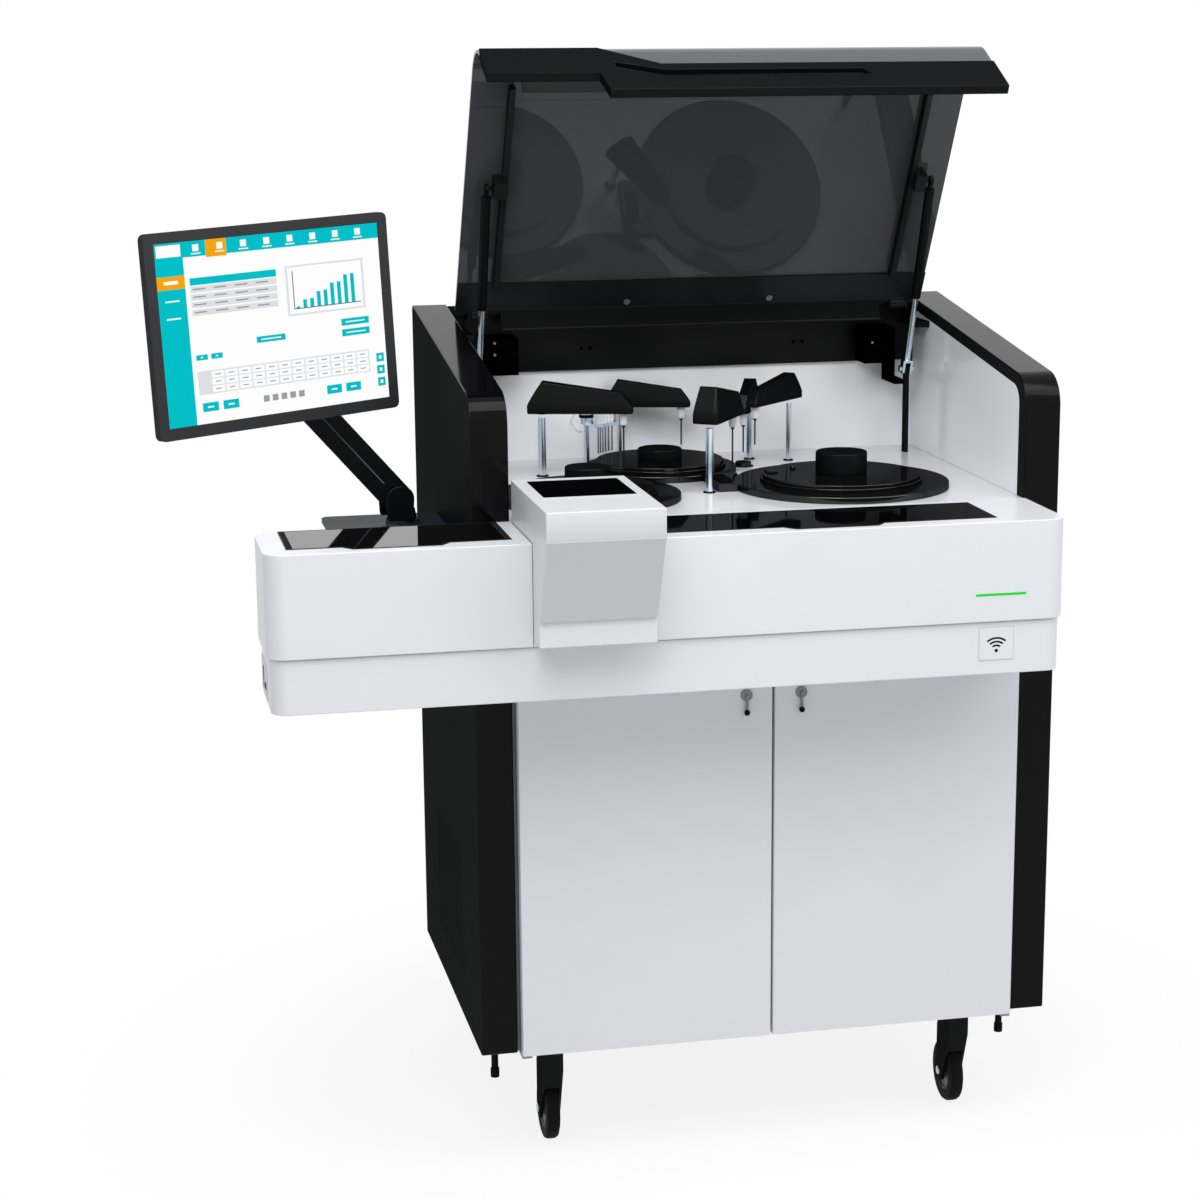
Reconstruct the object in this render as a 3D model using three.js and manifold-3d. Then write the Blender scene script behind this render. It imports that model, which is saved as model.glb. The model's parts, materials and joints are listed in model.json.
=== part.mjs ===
// A free-standing biochemistry analyzer: a cabinet on casters with two front doors, a work deck
// with three carousels and five dosing arms, a long front module with two sample bays, a smoked
// lid on gas struts and a monitor on a jointed arm.
// Millimetres, +Z up, +X to the viewer's right, +Y to the back. The parts are laid out from the
// cabinet's middle plane, the doors' front faces and the floor, and the whole is then moved so
// that the origin lies on the floor under the middle of its overall box.
import * as THREE from 'three';
import { mergeVertices } from 'three/addons/utils/BufferGeometryUtils.js';
import Module from 'manifold-3d';

const wasm = await Module();
wasm.setup();

// Driving dimensions.
const cabinetWidth = 900;
const cabinetDepth = 586;
const floorClearance = 185;
const deckHeight = 820.5;
const chamberHeight = 257.5;
const panelThickness = 56;
const panelTopFall = 77;
const panelCornerRadius = 50;
const doorThickness = 18;
const doorTopGap = 9.4;
const moduleDepth = 177;
const wingLength = 313;
const moduleEndLap = 4;
const coverHeight = 147.5;
const apronHeight = 79;
const lidOpenAngle = THREE.MathUtils.degToRad(67);

// Clearances and walls that many pieces share.
const seatGap = 0.3;
const overrun = 3;
const sheet = 4;
const shellWall = 3;
const fineSteps = 6;
const cornerSteps = 4;

// Planes and heights that follow from the driving dimensions.
const sideX = cabinetWidth / 2;
const innerX = sideX - panelThickness;
const panelFront = doorThickness;
const panelBack = panelFront + cabinetDepth;
const cabinetBottom = floorClearance;
const deckTop = cabinetBottom + deckHeight;
const cabinetTop = deckTop + chamberHeight;
const topSlope = panelTopFall / cabinetDepth;
const moduleFront = panelFront - moduleDepth;
const moduleBack = panelFront - seatGap;
const moduleLeft = -sideX - wingLength;
const moduleRight = innerX + moduleEndLap;
const coverBottom = deckTop - coverHeight;
const apronTop = coverBottom - seatGap;
const apronBottom = apronTop - apronHeight;
const doorBottom = cabinetBottom + seatGap;
const doorTop = apronBottom - doorTopGap;

// Finishes.
const finish = (color, roughness, metalness) =>
  new THREE.MeshStandardMaterial({ color, roughness, metalness });
const whiteEnamel = () => finish('#dfe2e7', 0.42, 0.0);
const greyEnamel = () => finish('#cbced3', 0.45, 0.0);
const blackEnamel = () => finish('#1a1b1d', 0.35, 0.0);
const glossBlack = () => finish('#141518', 0.18, 0.0);
const frameSteel = () => finish('#54585d', 0.5, 0.6);
const chrome = () => finish('#b9c6d3', 0.15, 1.0);
const smokedAcrylic = () => finish('#3b3c3f', 0.12, 0.0);
const rubber = () => finish('#202124', 0.8, 0.0);
const darkPlastic = () => finish('#3a3b3e', 0.5, 0.0);

// Solid helpers.
function toSolid(geometry) {
  const plain = geometry.clone();
  for (const name of Object.keys(plain.attributes)) {
    if (name !== 'position') plain.deleteAttribute(name);
  }
  const merged = mergeVertices(plain, seatGap / 1000);
  const points = merged.attributes.position.array;
  const index = merged.index.array;
  const kept = [];
  let volume = 0;
  for (let i = 0; i < index.length; i += 3) {
    const [a, b, c] = [index[i], index[i + 1], index[i + 2]];
    if (a === b || b === c || a === c) continue;
    kept.push(a, b, c);
    const [p, q, r] = [a, b, c].map((k) => new THREE.Vector3().fromArray(points, k * 3));
    volume += p.dot(q.cross(r));
  }
  if (volume < 0) {
    for (let i = 0; i < kept.length; i += 3) [kept[i], kept[i + 1]] = [kept[i + 1], kept[i]];
  }
  return new wasm.Manifold(new wasm.Mesh({
    numProp: 3,
    vertProperties: new Float32Array(points),
    triVerts: new Uint32Array(kept),
  }));
}

function toGeometry(solid) {
  const mesh = solid.getMesh();
  const geometry = new THREE.BufferGeometry();
  geometry.setAttribute('position', new THREE.BufferAttribute(mesh.vertProperties, 3));
  geometry.setIndex(new THREE.BufferAttribute(mesh.triVerts, 1));
  geometry.computeVertexNormals();
  return geometry;
}

const join = (...solids) => solids.reduce((whole, piece) => whole.add(piece));
const cut = (solid, ...tools) => tools.reduce((whole, tool) => whole.subtract(tool), solid);

function box(x, y, z) {
  const low = new THREE.Vector3(x[0], y[0], z[0]);
  const high = new THREE.Vector3(x[1], y[1], z[1]);
  const size = high.clone().sub(low);
  const centre = low.add(high).multiplyScalar(0.5);
  const geometry = new THREE.BoxGeometry(size.x, size.y, size.z);
  return toSolid(geometry.translate(centre.x, centre.y, centre.z));
}

// An outline from corners [u, v, radius]; a corner with no radius stays sharp.
function outlineOf(corners, steps = cornerSteps) {
  const path = [];
  corners.forEach(([u, v, radius], i) => {
    const corner = new THREE.Vector2(u, v);
    if (!radius) {
      path.push(corner);
      return;
    }
    const before = corners[(i + corners.length - 1) % corners.length];
    const after = corners[(i + 1) % corners.length];
    const toBefore = new THREE.Vector2(before[0], before[1]).sub(corner).normalize();
    const toAfter = new THREE.Vector2(after[0], after[1]).sub(corner).normalize();
    const half = Math.acos(toBefore.dot(toAfter)) / 2;
    const middle = toBefore.clone().add(toAfter).normalize();
    const centre = corner.clone().addScaledVector(middle, radius / Math.sin(half));
    const start = corner.clone().addScaledVector(toBefore, radius / Math.tan(half)).sub(centre);
    const end = corner.clone().addScaledVector(toAfter, radius / Math.tan(half)).sub(centre);
    const turn = Math.atan2(start.cross(end), start.dot(end));
    for (let step = 0; step <= steps; step += 1) {
      const spoke = start.clone().rotateAround(new THREE.Vector2(), (turn * step) / steps);
      path.push(spoke.add(centre));
    }
  });
  return path;
}

const unitX = new THREE.Vector3(1, 0, 0);
const unitY = new THREE.Vector3(0, 1, 0);
const unitZ = new THREE.Vector3(0, 0, 1);
const planeOf = {
  x: new THREE.Matrix4().makeBasis(unitY, unitZ, unitX),
  y: new THREE.Matrix4().makeBasis(unitX, unitZ, unitY.clone().negate()),
  z: new THREE.Matrix4(),
};

// A prism along an axis. Its outline is in (y, z) for x, in (x, z) for y and in (x, y) for z.
function prism(axis, outline, low, high) {
  const geometry = new THREE.ExtrudeGeometry(new THREE.Shape(outline), {
    depth: high - low,
    bevelEnabled: false,
    steps: 1,
  });
  geometry.applyMatrix4(planeOf[axis]);
  const shift = { x: [low, 0, 0], y: [0, high, 0], z: [0, 0, low] }[axis];
  return toSolid(geometry.translate(...shift));
}

// A turned piece: profile of [radius, height], about a line through centre along an axis.
function turned(profile, sides, centre, axis = 'z') {
  const points = profile.map(([radius, height]) => new THREE.Vector2(radius, height));
  const geometry = new THREE.LatheGeometry([...points, points[0]], sides);
  if (axis === 'z') geometry.rotateX(Math.PI / 2);
  if (axis === 'x') geometry.rotateZ(-Math.PI / 2);
  return toSolid(geometry.translate(...centre));
}

const rod = (radius, low, high, sides, centre, axis = 'z') =>
  turned([[0, low], [radius, low], [radius, high], [0, high]], sides, centre, axis);

const analyzer = new THREE.Group();

function add(name, solid, material, parent = analyzer) {
  const mesh = new THREE.Mesh(toGeometry(solid), material);
  mesh.name = name;
  parent.add(mesh);
  return mesh;
}

// Casters and levelling feet, placed under the four corners.
const casterInset = 120;
const casterFromFront = 74;
const casterFromBack = 82;
const footInset = 36;
const footFromFront = 101;
const footFromBack = 109;
const wheelRadius = 50;
const wheelWidth = 29;
const wheelEdge = 6;
const axleRadius = 5;
const casterTrail = 28;
const forkPlate = 6;
const forkHalfDepth = 19;
const forkLegHalfDepth = 13;
const headRadius = 20;
const headHeight = 14;
const padHalf = 31;
const padThickness = 4;
const kingpinRadius = 6;
const kingpinLength = 12;
const crownHeight = 40;
const roundSides = 20;
const rotorSides = 24;
const smallSides = 12;

const casterPlaces = {
  front_left: [-sideX + casterInset, panelFront + casterFromFront],
  front_right: [sideX - casterInset, panelFront + casterFromFront],
  rear_left: [-sideX + casterInset, panelBack - casterFromBack],
  rear_right: [sideX - casterInset, panelBack - casterFromBack],
};
const footPlaces = {
  front_left: [-sideX + footInset, panelFront + footFromFront],
  front_right: [sideX - footInset, panelFront + footFromFront],
  rear_left: [-sideX + footInset, panelBack - footFromBack],
  rear_right: [sideX - footInset, panelBack - footFromBack],
};
const padBottom = cabinetBottom - padThickness;
const headTop = padBottom - seatGap;
const headBottom = headTop - headHeight;
const crownBottom = headBottom - crownHeight;

function casterFork() {
  const legInner = wheelWidth / 2 + seatGap;
  const legOuter = legInner + forkPlate;
  const head = turned([
    [0, headTop - kingpinLength - seatGap],
    [kingpinRadius + seatGap, headTop - kingpinLength - seatGap],
    [kingpinRadius + seatGap, headTop],
    [headRadius, headTop],
    [headRadius, headBottom - overrun],
    [0, headBottom - overrun],
  ], roundSides, [0, 0, 0]);
  const side = outlineOf([
    [-forkHalfDepth, headBottom],
    [-forkHalfDepth, crownBottom],
    [casterTrail - forkLegHalfDepth, wheelRadius - forkLegHalfDepth, axleRadius],
    [casterTrail + forkLegHalfDepth, wheelRadius - forkLegHalfDepth, axleRadius],
    [casterTrail + forkLegHalfDepth, crownBottom],
    [forkHalfDepth, headBottom],
  ]);
  const block = prism('x', side, -legOuter, legOuter);
  const wheelRoom = rod(wheelRadius + wheelEdge, -legInner, legInner, roundSides,
    [0, casterTrail, wheelRadius], 'x');
  const throat = box([-legInner, legInner], [-forkHalfDepth - overrun, casterTrail + wheelRadius],
    [wheelRadius - forkLegHalfDepth - overrun, wheelRadius + forkLegHalfDepth]);
  const axle = rod(axleRadius, -legInner - overrun, legInner + overrun, smallSides,
    [0, casterTrail, wheelRadius], 'x');
  return join(cut(block, wheelRoom, throat), head, axle);
}

function casterWheel() {
  const half = wheelWidth / 2;
  return turned([
    [axleRadius + seatGap, -half],
    [wheelRadius - wheelEdge, -half],
    [wheelRadius, -half + wheelEdge],
    [wheelRadius, half - wheelEdge],
    [wheelRadius - wheelEdge, half],
    [axleRadius + seatGap, half],
  ], rotorSides, [0, casterTrail, wheelRadius], 'x');
}

for (const [corner, [x, y]] of Object.entries(casterPlaces)) {
  const place = new THREE.Group();
  place.position.set(x, y, 0);
  analyzer.add(place);
  add(`${corner}_caster_fork`, casterFork(), blackEnamel(), place);
  add(`${corner}_caster_wheel`, casterWheel(), rubber(), place);
}

const footRadius = 5.5;
const footTipRadius = 7;
const footTipHeight = 14;
const footDrop = 76;
const footNutRadius = 10;
const footNutHeight = 8;
const footNutBelow = 8;
const footEngagement = 125;

function levellingFoot(x, y) {
  const bottom = cabinetBottom - footDrop;
  const nutTop = cabinetBottom - footNutBelow;
  const nutBottom = nutTop - footNutHeight;
  const top = cabinetBottom + footEngagement;
  return turned([
    [0, bottom],
    [footTipRadius, bottom],
    [footTipRadius, bottom + footTipHeight],
    [footRadius, bottom + footTipHeight],
    [footRadius, nutBottom],
    [footNutRadius, nutBottom],
    [footNutRadius, nutTop],
    [footRadius, nutTop],
    [footRadius, top],
    [0, top],
  ], smallSides, [x, y, 0]);
}

for (const [corner, [x, y]] of Object.entries(footPlaces)) {
  add(`${corner}_levelling_foot`, levellingFoot(x, y), rubber());
}

// Side panels.
const panelBackRadius = 8;
const footBossWall = 4;

// Each panel is a box of sheet metal, open below, with a sleeve for each levelling foot.
function sidePanel(sign) {
  const outlineAt = (inset, bottom) => outlineOf([
    [panelFront + inset, bottom],
    [panelBack - inset, bottom],
    [panelBack - inset, cabinetTop - inset, panelBackRadius],
    [panelFront + inset, cabinetTop - panelTopFall - inset, panelCornerRadius - inset],
  ], fineSteps);
  const [low, high] = sign < 0 ? [-sideX, -innerX] : [innerX, sideX];
  const feet = Object.values(footPlaces).filter(([x]) => Math.sign(x) === sign);
  const sleeves = feet.map(([x, y]) => rod(footRadius + seatGap + footBossWall, cabinetBottom,
    cabinetBottom + footEngagement + overrun * 2, smallSides, [x, y, 0]));
  const webs = feet.map(([, y]) => box([low + sheet / 2, high - sheet / 2],
    [y - sheet / 2, y + sheet / 2], [cabinetBottom, cabinetBottom + footEngagement]));
  const holes = feet.map(([x, y]) => rod(footRadius + seatGap, cabinetBottom - overrun,
    cabinetBottom + footEngagement + overrun, smallSides, [x, y, 0]));
  const shell = cut(prism('x', outlineAt(0, cabinetBottom), low, high),
    prism('x', outlineAt(sheet, cabinetBottom - overrun), low + sheet, high - sheet));
  return cut(join(shell, ...sleeves, ...webs), ...holes);
}

add('left_side_panel', sidePanel(-1), blackEnamel());
add('right_side_panel', sidePanel(1), blackEnamel());

// Door pivots, shared by the doors and the frame.
const pivotInset = 7.5;
const pivotRadius = 4;
const pivotLength = 18;
const pivotPlate = 5;
const doorSideGap = 4.5;
const doorMeetingGap = 3;
const doorEdgeRadius = 3;
const doorSkin = 3;
const doorFlange = 16;
const doorOuterX = innerX - doorSideGap;
const pivotX = doorOuterX - pivotInset;
const pivotY = doorThickness / 2;

// The welded frame: floor plate with caster pads, posts, rails, door pivots and rear wall.
const framePost = 30;
const frameSetback = 10;
const keeperHalf = 80;
const keeperDrop = 26;
const rearSheetTop = 22;
const frameX = innerX - seatGap;
const frameFront = panelFront + frameSetback;
const deckThickness = 12;
const underDeck = deckTop - deckThickness - seatGap;

function baseFrame() {
  const floorTop = cabinetBottom + sheet;
  const floorPlate = box([-frameX, frameX], [frameFront, panelBack], [cabinetBottom, floorTop]);
  const rearWall = box([-frameX, frameX], [panelBack - sheet, panelBack],
    [cabinetBottom, cabinetTop - rearSheetTop - sheet]);
  const railTop = apronBottom - seatGap;
  const parts = [rearWall];
  for (const side of [-1, 1]) {
    const postX = side < 0 ? [-frameX, -frameX + framePost] : [frameX - framePost, frameX];
    const armX = [side * pivotX - pivotInset, side * pivotX + pivotInset];
    parts.push(box(postX, [frameFront, frameFront + framePost], [cabinetBottom, underDeck]));
    parts.push(box(armX, [pivotY - pivotRadius, frameFront + framePost],
      [doorBottom - seatGap - pivotPlate, doorBottom - seatGap]));
    parts.push(box(armX, [pivotY - pivotRadius, frameFront + framePost],
      [doorTop + seatGap, doorTop + seatGap + pivotPlate]));
    const place = [side * pivotX, pivotY, 0];
    parts.push(rod(pivotRadius, doorBottom - seatGap - pivotPlate, doorBottom + pivotLength,
      smallSides, place));
    parts.push(rod(pivotRadius, doorTop - pivotLength, doorTop + seatGap + pivotPlate,
      smallSides, place));
  }
  parts.push(box([-frameX, frameX], [frameFront, frameFront + framePost],
    [railTop - framePost, railTop]));
  parts.push(box([-keeperHalf, keeperHalf], [panelFront + seatGap, frameFront + sheet],
    [railTop - sheet, railTop]));
  parts.push(box([-keeperHalf, keeperHalf],
    [panelFront + seatGap, panelFront + seatGap + keeperPlate],
    [railTop - keeperDrop, railTop]));
  for (const [x, y] of Object.values(casterPlaces)) {
    parts.push(box([x - padHalf, x + padHalf], [y - padHalf, y + padHalf],
      [padBottom, floorTop]));
    parts.push(rod(kingpinRadius, headTop - kingpinLength, floorTop, smallSides, [x, y, 0]));
  }
  return join(floorPlate, ...parts);
}

// Door latches: a quarter-turn cam behind the door, a disc and a hanging lever in front.
const latchFromEdge = 41;
const latchBelowTop = 40.5;
const latchDiscRadius = 9;
const latchDiscThickness = 2;
const latchShaftRadius = 5;
const leverLength = 26;
const leverThickness = 3;
const leverHalfWidth = 1.8;
const leverBallRadius = 4.5;
const camLength = 30;
const camHalfWidth = 7;
const camThickness = 3;
const keeperPlate = 3;
const latchZ = doorTop - latchBelowTop;
const latchX = doorMeetingGap / 2 + latchFromEdge;
const camFront = panelFront + seatGap + keeperPlate + seatGap;

add('base_frame', baseFrame(), frameSteel());

function door(side) {
  const inner = doorMeetingGap / 2;
  const corners = [
    [inner, 0, doorEdgeRadius],
    [doorOuterX, 0, doorEdgeRadius],
    [doorOuterX, doorThickness, doorEdgeRadius],
    [inner, doorThickness, doorEdgeRadius],
  ].map(([x, y, radius]) => [side * x, y, radius]);
  const place = [side * pivotX, pivotY, 0];
  const bores = [
    [doorBottom - overrun, doorBottom + pivotLength + seatGap],
    [doorTop - pivotLength - seatGap, doorTop + overrun],
  ].map(([low, high]) => rod(pivotRadius + seatGap, low, high, smallSides, place));
  const lockHole = rod(latchShaftRadius + seatGap, -overrun, doorThickness + overrun, smallSides,
    [0, 0, 0]);
  const lockCut = lockHole.transform(new THREE.Matrix4().makeBasis(unitX, unitZ.clone().negate(),
    unitY).setPosition(side * latchX, 0, latchZ).elements);
  const slab = prism('z', outlineOf(corners, 2), doorBottom, doorTop);
  const panX = [side * (inner + doorFlange), side * (doorOuterX - doorFlange)];
  const pan = box([Math.min(...panX), Math.max(...panX)], [doorSkin, doorThickness + overrun],
    [doorBottom + doorFlange, doorTop - doorFlange]);
  const lockPad = box([side * latchX - camHalfWidth, side * latchX + camHalfWidth],
    [doorSkin / 2, doorThickness], [latchZ - camHalfWidth, latchZ + camHalfWidth]);
  return cut(join(cut(slab, pan), lockPad), ...bores, lockCut);
}

// The latch is drawn with its lever hanging down and its cam turned to the door's outer side.
function latch(side) {
  const front = -seatGap - latchDiscThickness;
  const along = (profile, sides, z) => turned(profile, sides, [0, 0, 0]).transform(
    new THREE.Matrix4().makeBasis(unitX, unitZ.clone().negate(), unitY)
      .setPosition(side * latchX, 0, z).elements);
  const disc = along([[0, front], [latchDiscRadius, front], [latchDiscRadius, -seatGap],
    [0, -seatGap]], roundSides, latchZ);
  const shaft = along([[0, front], [latchShaftRadius, front],
    [latchShaftRadius, camFront + camThickness], [0, camFront + camThickness]],
  smallSides, latchZ);
  const lever = box([side * latchX - leverHalfWidth, side * latchX + leverHalfWidth],
    [front - leverThickness, front + seatGap], [latchZ - leverLength, latchZ + leverHalfWidth]);
  const ball = toSolid(new THREE.SphereGeometry(leverBallRadius, smallSides, fineSteps)
    .rotateX(Math.PI / 2)
    .translate(side * latchX, -leverBallRadius - seatGap * 2, latchZ - leverLength));
  const camX = side < 0 ? [-latchX - camLength, -latchX] : [latchX, latchX + camLength];
  const cam = box(camX, [camFront, camFront + camThickness],
    [latchZ - camHalfWidth, latchZ + camHalfWidth]);
  return join(disc, shaft, lever, ball, cam);
}

add('left_door', door(-1), greyEnamel());
add('right_door', door(1), greyEnamel());
add('left_latch', latch(-1), chrome());
add('right_latch', latch(1), chrome());

// The deck's back wall and the room in front of it.
const backWallFromBack = 37;
const backWallY = panelBack - backWallFromBack;
const deckRoomDepth = backWallY - panelFront;

// The layout on the deck is given for one half width and one depth of that room. Places stretch
// with each of them, and sizes in plan follow the smaller stretch.
const layoutHalfWidth = 394;
const layoutDepth = 549;
const stretchX = innerX / layoutHalfWidth;
const stretchY = deckRoomDepth / layoutDepth;
const planStretch = Math.min(stretchX, stretchY);
const planSizes = ['rim', 'cover', 'knob', 'reach', 'tail', 'nose'];

function laidOut(table) {
  return Object.fromEntries(Object.entries(table).map(([name, item]) => {
    const sizes = planSizes.filter((key) => key in item)
      .map((key) => [key, item[key] * planStretch]);
    const place = { x: item.x * stretchX, y: panelFront + item.behind * stretchY };
    return [name, { ...item, ...place, ...Object.fromEntries(sizes) }];
  }));
}

// The carousels: centre from the cabinet's middle and behind the panels' front edges, rim radius,
// cover radius and knob of each.
const rimHeight = 10.5;
const coverRise = 10;
const rimLip = 2;
const wellDepth = 60;
const wellWall = 3;
const rimOverhang = 14;
const bossRadius = 14;
const bossHeight = 22;
const spindleRadius = 5;
const spindleLength = 20;
const rotorPlate = 5;
const rotorHubRadius = 22;
const rotorRingWidth = 20;
const rotorClearance = 4;
const coverSkirt = 6;
const coverSheet = 3;
const coverStep = 4;
const knobEdge = 4;
const knobGroove = 1.5;
const carouselSides = 32;

const carouselPlan = {
  reagent: { x: 159, behind: 173.5, rim: 167, cover: 126, knob: 40, knobTop: 55 },
  sample: { x: -248, behind: 154, rim: 143, cover: 108, knob: 33.5, knobTop: 51 },
  reaction: { x: -82.5, behind: 381, rim: 123, cover: 106, knob: 35.5, knobTop: 38 },
};
const carousels = laidOut(carouselPlan);

const rimTop = deckTop + rimHeight;
const wellFloor = deckTop - wellDepth;
const wellRadius = ({ rim }) => rim - rimOverhang;
const mouthRadius = ({ cover }) => cover - coverStep * 2;

function carouselRim(place) {
  const { x, y, rim } = place;
  const well = wellRadius(place);
  const mouth = mouthRadius(place);
  const rotorSeat = wellFloor + wellWall + bossHeight;
  return turned([
    [0, wellFloor],
    [well - seatGap, wellFloor],
    [well - seatGap, deckTop + seatGap],
    [rim, deckTop + seatGap],
    [rim, rimTop - rimLip],
    [rim - rimLip, rimTop],
    [mouth, rimTop],
    [mouth, rimTop - coverSheet - coverSkirt],
    [well - wellWall, rimTop - coverSheet - coverSkirt - wellWall],
    [well - wellWall, wellFloor + wellWall],
    [bossRadius, wellFloor + wellWall],
    [bossRadius, rotorSeat],
    [spindleRadius, rotorSeat],
    [spindleRadius, rotorSeat + spindleLength],
    [0, rotorSeat + spindleLength],
  ], carouselSides, [x, y, 0]);
}

function carouselRotor(place) {
  const { x, y } = place;
  const outer = mouthRadius(place) - rotorClearance;
  const bottom = wellFloor + wellWall + bossHeight + seatGap;
  const ringTop = deckTop - rotorClearance;
  return turned([
    [spindleRadius + seatGap, bottom],
    [outer, bottom],
    [outer, ringTop],
    [outer - rotorRingWidth, ringTop],
    [outer - rotorRingWidth, bottom + rotorPlate],
    [rotorHubRadius, bottom + rotorPlate],
    [rotorHubRadius, bottom + spindleLength],
    [spindleRadius + seatGap, bottom + spindleLength],
  ], rotorSides, [x, y, 0]);
}

function carouselCover(place) {
  const { x, y, cover, knob, knobTop } = place;
  const seat = rimTop + seatGap;
  const top = rimTop + coverRise;
  const mouth = mouthRadius(place) - seatGap;
  const knobHigh = deckTop + knobTop;
  return turned([
    [0, knobHigh],
    [knob - knobEdge, knobHigh],
    [knob, knobHigh - knobEdge],
    [knob, top + knobGroove * 2],
    [knob - knobGroove, top + knobGroove],
    [knob - knobGroove, top],
    [cover - coverStep, top],
    [cover - coverStep, top - coverRise / 2],
    [cover, top - coverRise / 2],
    [cover, seat],
    [mouth, seat],
    [mouth, seat - coverSkirt],
    [mouth - coverSheet, seat - coverSkirt],
    [mouth - coverSheet, top - coverSheet],
    [knob - knobEdge, top - coverSheet],
    [knob - knobEdge, knobHigh - coverSheet],
    [0, knobHigh - coverSheet],
  ], carouselSides, [x, y, 0]);
}

for (const [name, place] of Object.entries(carousels)) {
  add(`${name}_carousel_rim`, carouselRim(place), glossBlack());
  add(`${name}_carousel_rotor`, carouselRotor(place), darkPlastic());
  add(`${name}_carousel_cover`, carouselCover(place), glossBlack());
}

// The dosing and stirring arms: column place, arm direction in degrees and reach to the nozzle.
const columnDepth = 62;
const columnBoss = 8;
const bossMargin = 2.5;
const hoodEdge = 12;
const hoodTailOver = 22;
const hoodNoseOver = 15;
const nozzleRadius = 6.5;
const nozzleTipRadius = 5;
const nozzleLength = 18;
const needleCollarRadius = 3;
const needleCollarHeight = 3;
const needleRadius = 1.4;
const needleTipGap = 2;
const hoodTaperShare = 0.62;
const cornerShare = 0.62;
const hoodCrownShare = 0.16;
const hoodNoseShare = 0.86;
const hoodNoseHeightShare = 0.64;

const armPlan = {
  sample_arm: { x: -275, behind: 377, turn: -16.5, reach: 130, lift: 102, crown: 50, tail: 19,
    nose: 13, column: 6.2, tip: rimHeight + coverRise + needleTipGap },
  wash_arm: { x: -118, behind: 522, turn: -16.5, reach: 102, lift: 87, crown: 44, tail: 17,
    nose: 12, column: 5.2, tip: rimHeight + coverRise + needleTipGap },
  reagent_arm: { x: -54, behind: 164, turn: 53.6, reach: 94, lift: 108, crown: 56, tail: 21,
    nose: 14, column: 6.2, tip: rimHeight + coverRise + needleTipGap },
  first_stirrer: { x: 88, behind: 462, turn: -112.6, reach: 73, lift: 87, crown: 46, tail: 15,
    nose: 10, column: 5.6, tip: rimHeight + coverRise + needleTipGap },
  second_stirrer: { x: 147, behind: 434, turn: -133.9, reach: 114, lift: 103, crown: 42, tail: 15,
    nose: 10, column: 4.6, tip: rimHeight + coverRise + needleTipGap + nozzleLength },
};
const arms = laidOut(armPlan);

function armColumn({ x, y, lift, column }) {
  return rod(column, deckTop - columnDepth, deckTop + lift - columnBoss - seatGap, roundSides,
    [x, y, 0]);
}

// The hood is a tapered plan outline at its foot and waist, drawn in at its sloping top.
function armHood({ reach, crown, tail, nose }) {
  const start = -hoodTailOver * planStretch;
  const end = reach + hoodNoseOver * planStretch;
  const plan = outlineOf([
    [start, -tail, tail * hoodTaperShare],
    [end, -nose, nose * hoodTaperShare],
    [end, nose, nose * hoodTaperShare],
    [start, tail, tail * hoodTaperShare],
  ], 3);
  const length = end - start;
  const crownAt = start + length * hoodCrownShare;
  const noseAt = start + length * hoodNoseShare;
  const noseTop = crown * hoodNoseHeightShare;
  const topOf = (p) => {
    const u = THREE.MathUtils.clamp(p.x, crownAt, noseAt);
    const share = (u - crownAt) / (noseAt - crownAt);
    const z = THREE.MathUtils.lerp(crown, noseTop, share * share);
    return new THREE.Vector3(u, p.y * hoodTaperShare, z);
  };
  const rings = [
    plan.map((p) => new THREE.Vector3(p.x, p.y, 0)),
    plan.map((p) => new THREE.Vector3(p.x, p.y, hoodEdge)),
    plan.map(topOf),
  ];
  const points = rings.flat();
  const count = plan.length;
  const index = [];
  for (let ring = 0; ring < rings.length - 1; ring += 1) {
    for (let i = 0; i < count; i += 1) {
      const a = ring * count + i;
      const b = ring * count + ((i + 1) % count);
      index.push(a, b, b + count, a, b + count, a + count);
    }
  }
  const roof = (rings.length - 1) * count;
  for (const [a, b, c] of THREE.ShapeUtils.triangulateShape(plan, [])) {
    index.push(c, b, a);
  }
  for (const [a, b, c] of THREE.ShapeUtils.triangulateShape(plan, [])) {
    index.push(roof + a, roof + b, roof + c);
  }
  const geometry = new THREE.BufferGeometry().setFromPoints(points);
  geometry.setIndex(index);
  return toSolid(geometry);
}

function armHead(arm) {
  const drop = arm.lift - arm.tip;
  const boss = rod(arm.column + bossMargin, -columnBoss, overrun, smallSides, [0, 0, 0]);
  const nozzle = turned([
    [0, -drop],
    [needleRadius, -drop],
    [needleRadius, -nozzleLength - needleCollarHeight],
    [needleCollarRadius, -nozzleLength - needleCollarHeight],
    [needleCollarRadius, -nozzleLength],
    [nozzleTipRadius, -nozzleLength],
    [nozzleRadius, overrun],
    [0, overrun],
  ], smallSides, [arm.reach, 0, 0]);
  return join(armHood(arm), boss, nozzle);
}

for (const [name, arm] of Object.entries(arms)) {
  add(`${name}_column`, armColumn(arm), chrome());
  const place = new THREE.Group();
  place.position.set(arm.x, arm.y, deckTop + arm.lift);
  place.rotation.z = THREE.MathUtils.degToRad(arm.turn);
  analyzer.add(place);
  add(`${name}_head`, armHead(arm), glossBlack(), place);
}

// The cuvette washer: a post with a glass head and a comb of tubes over the reaction carousel.
const washerFromRim = 18;
const washerAngle = THREE.MathUtils.degToRad(135);
const washerPostRadius = 5;
const washerHeadRadius = 11;
const washerHeadBottom = 66;
const washerHeadTop = 92;
const washerPlate = 5;
const washerPlateHalf = 7;
const washerTubes = 6;
const washerTubeRadius = 1.8;
const washerTubeInset = 16;
const washerTubeSpread = THREE.MathUtils.degToRad(22);

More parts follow.
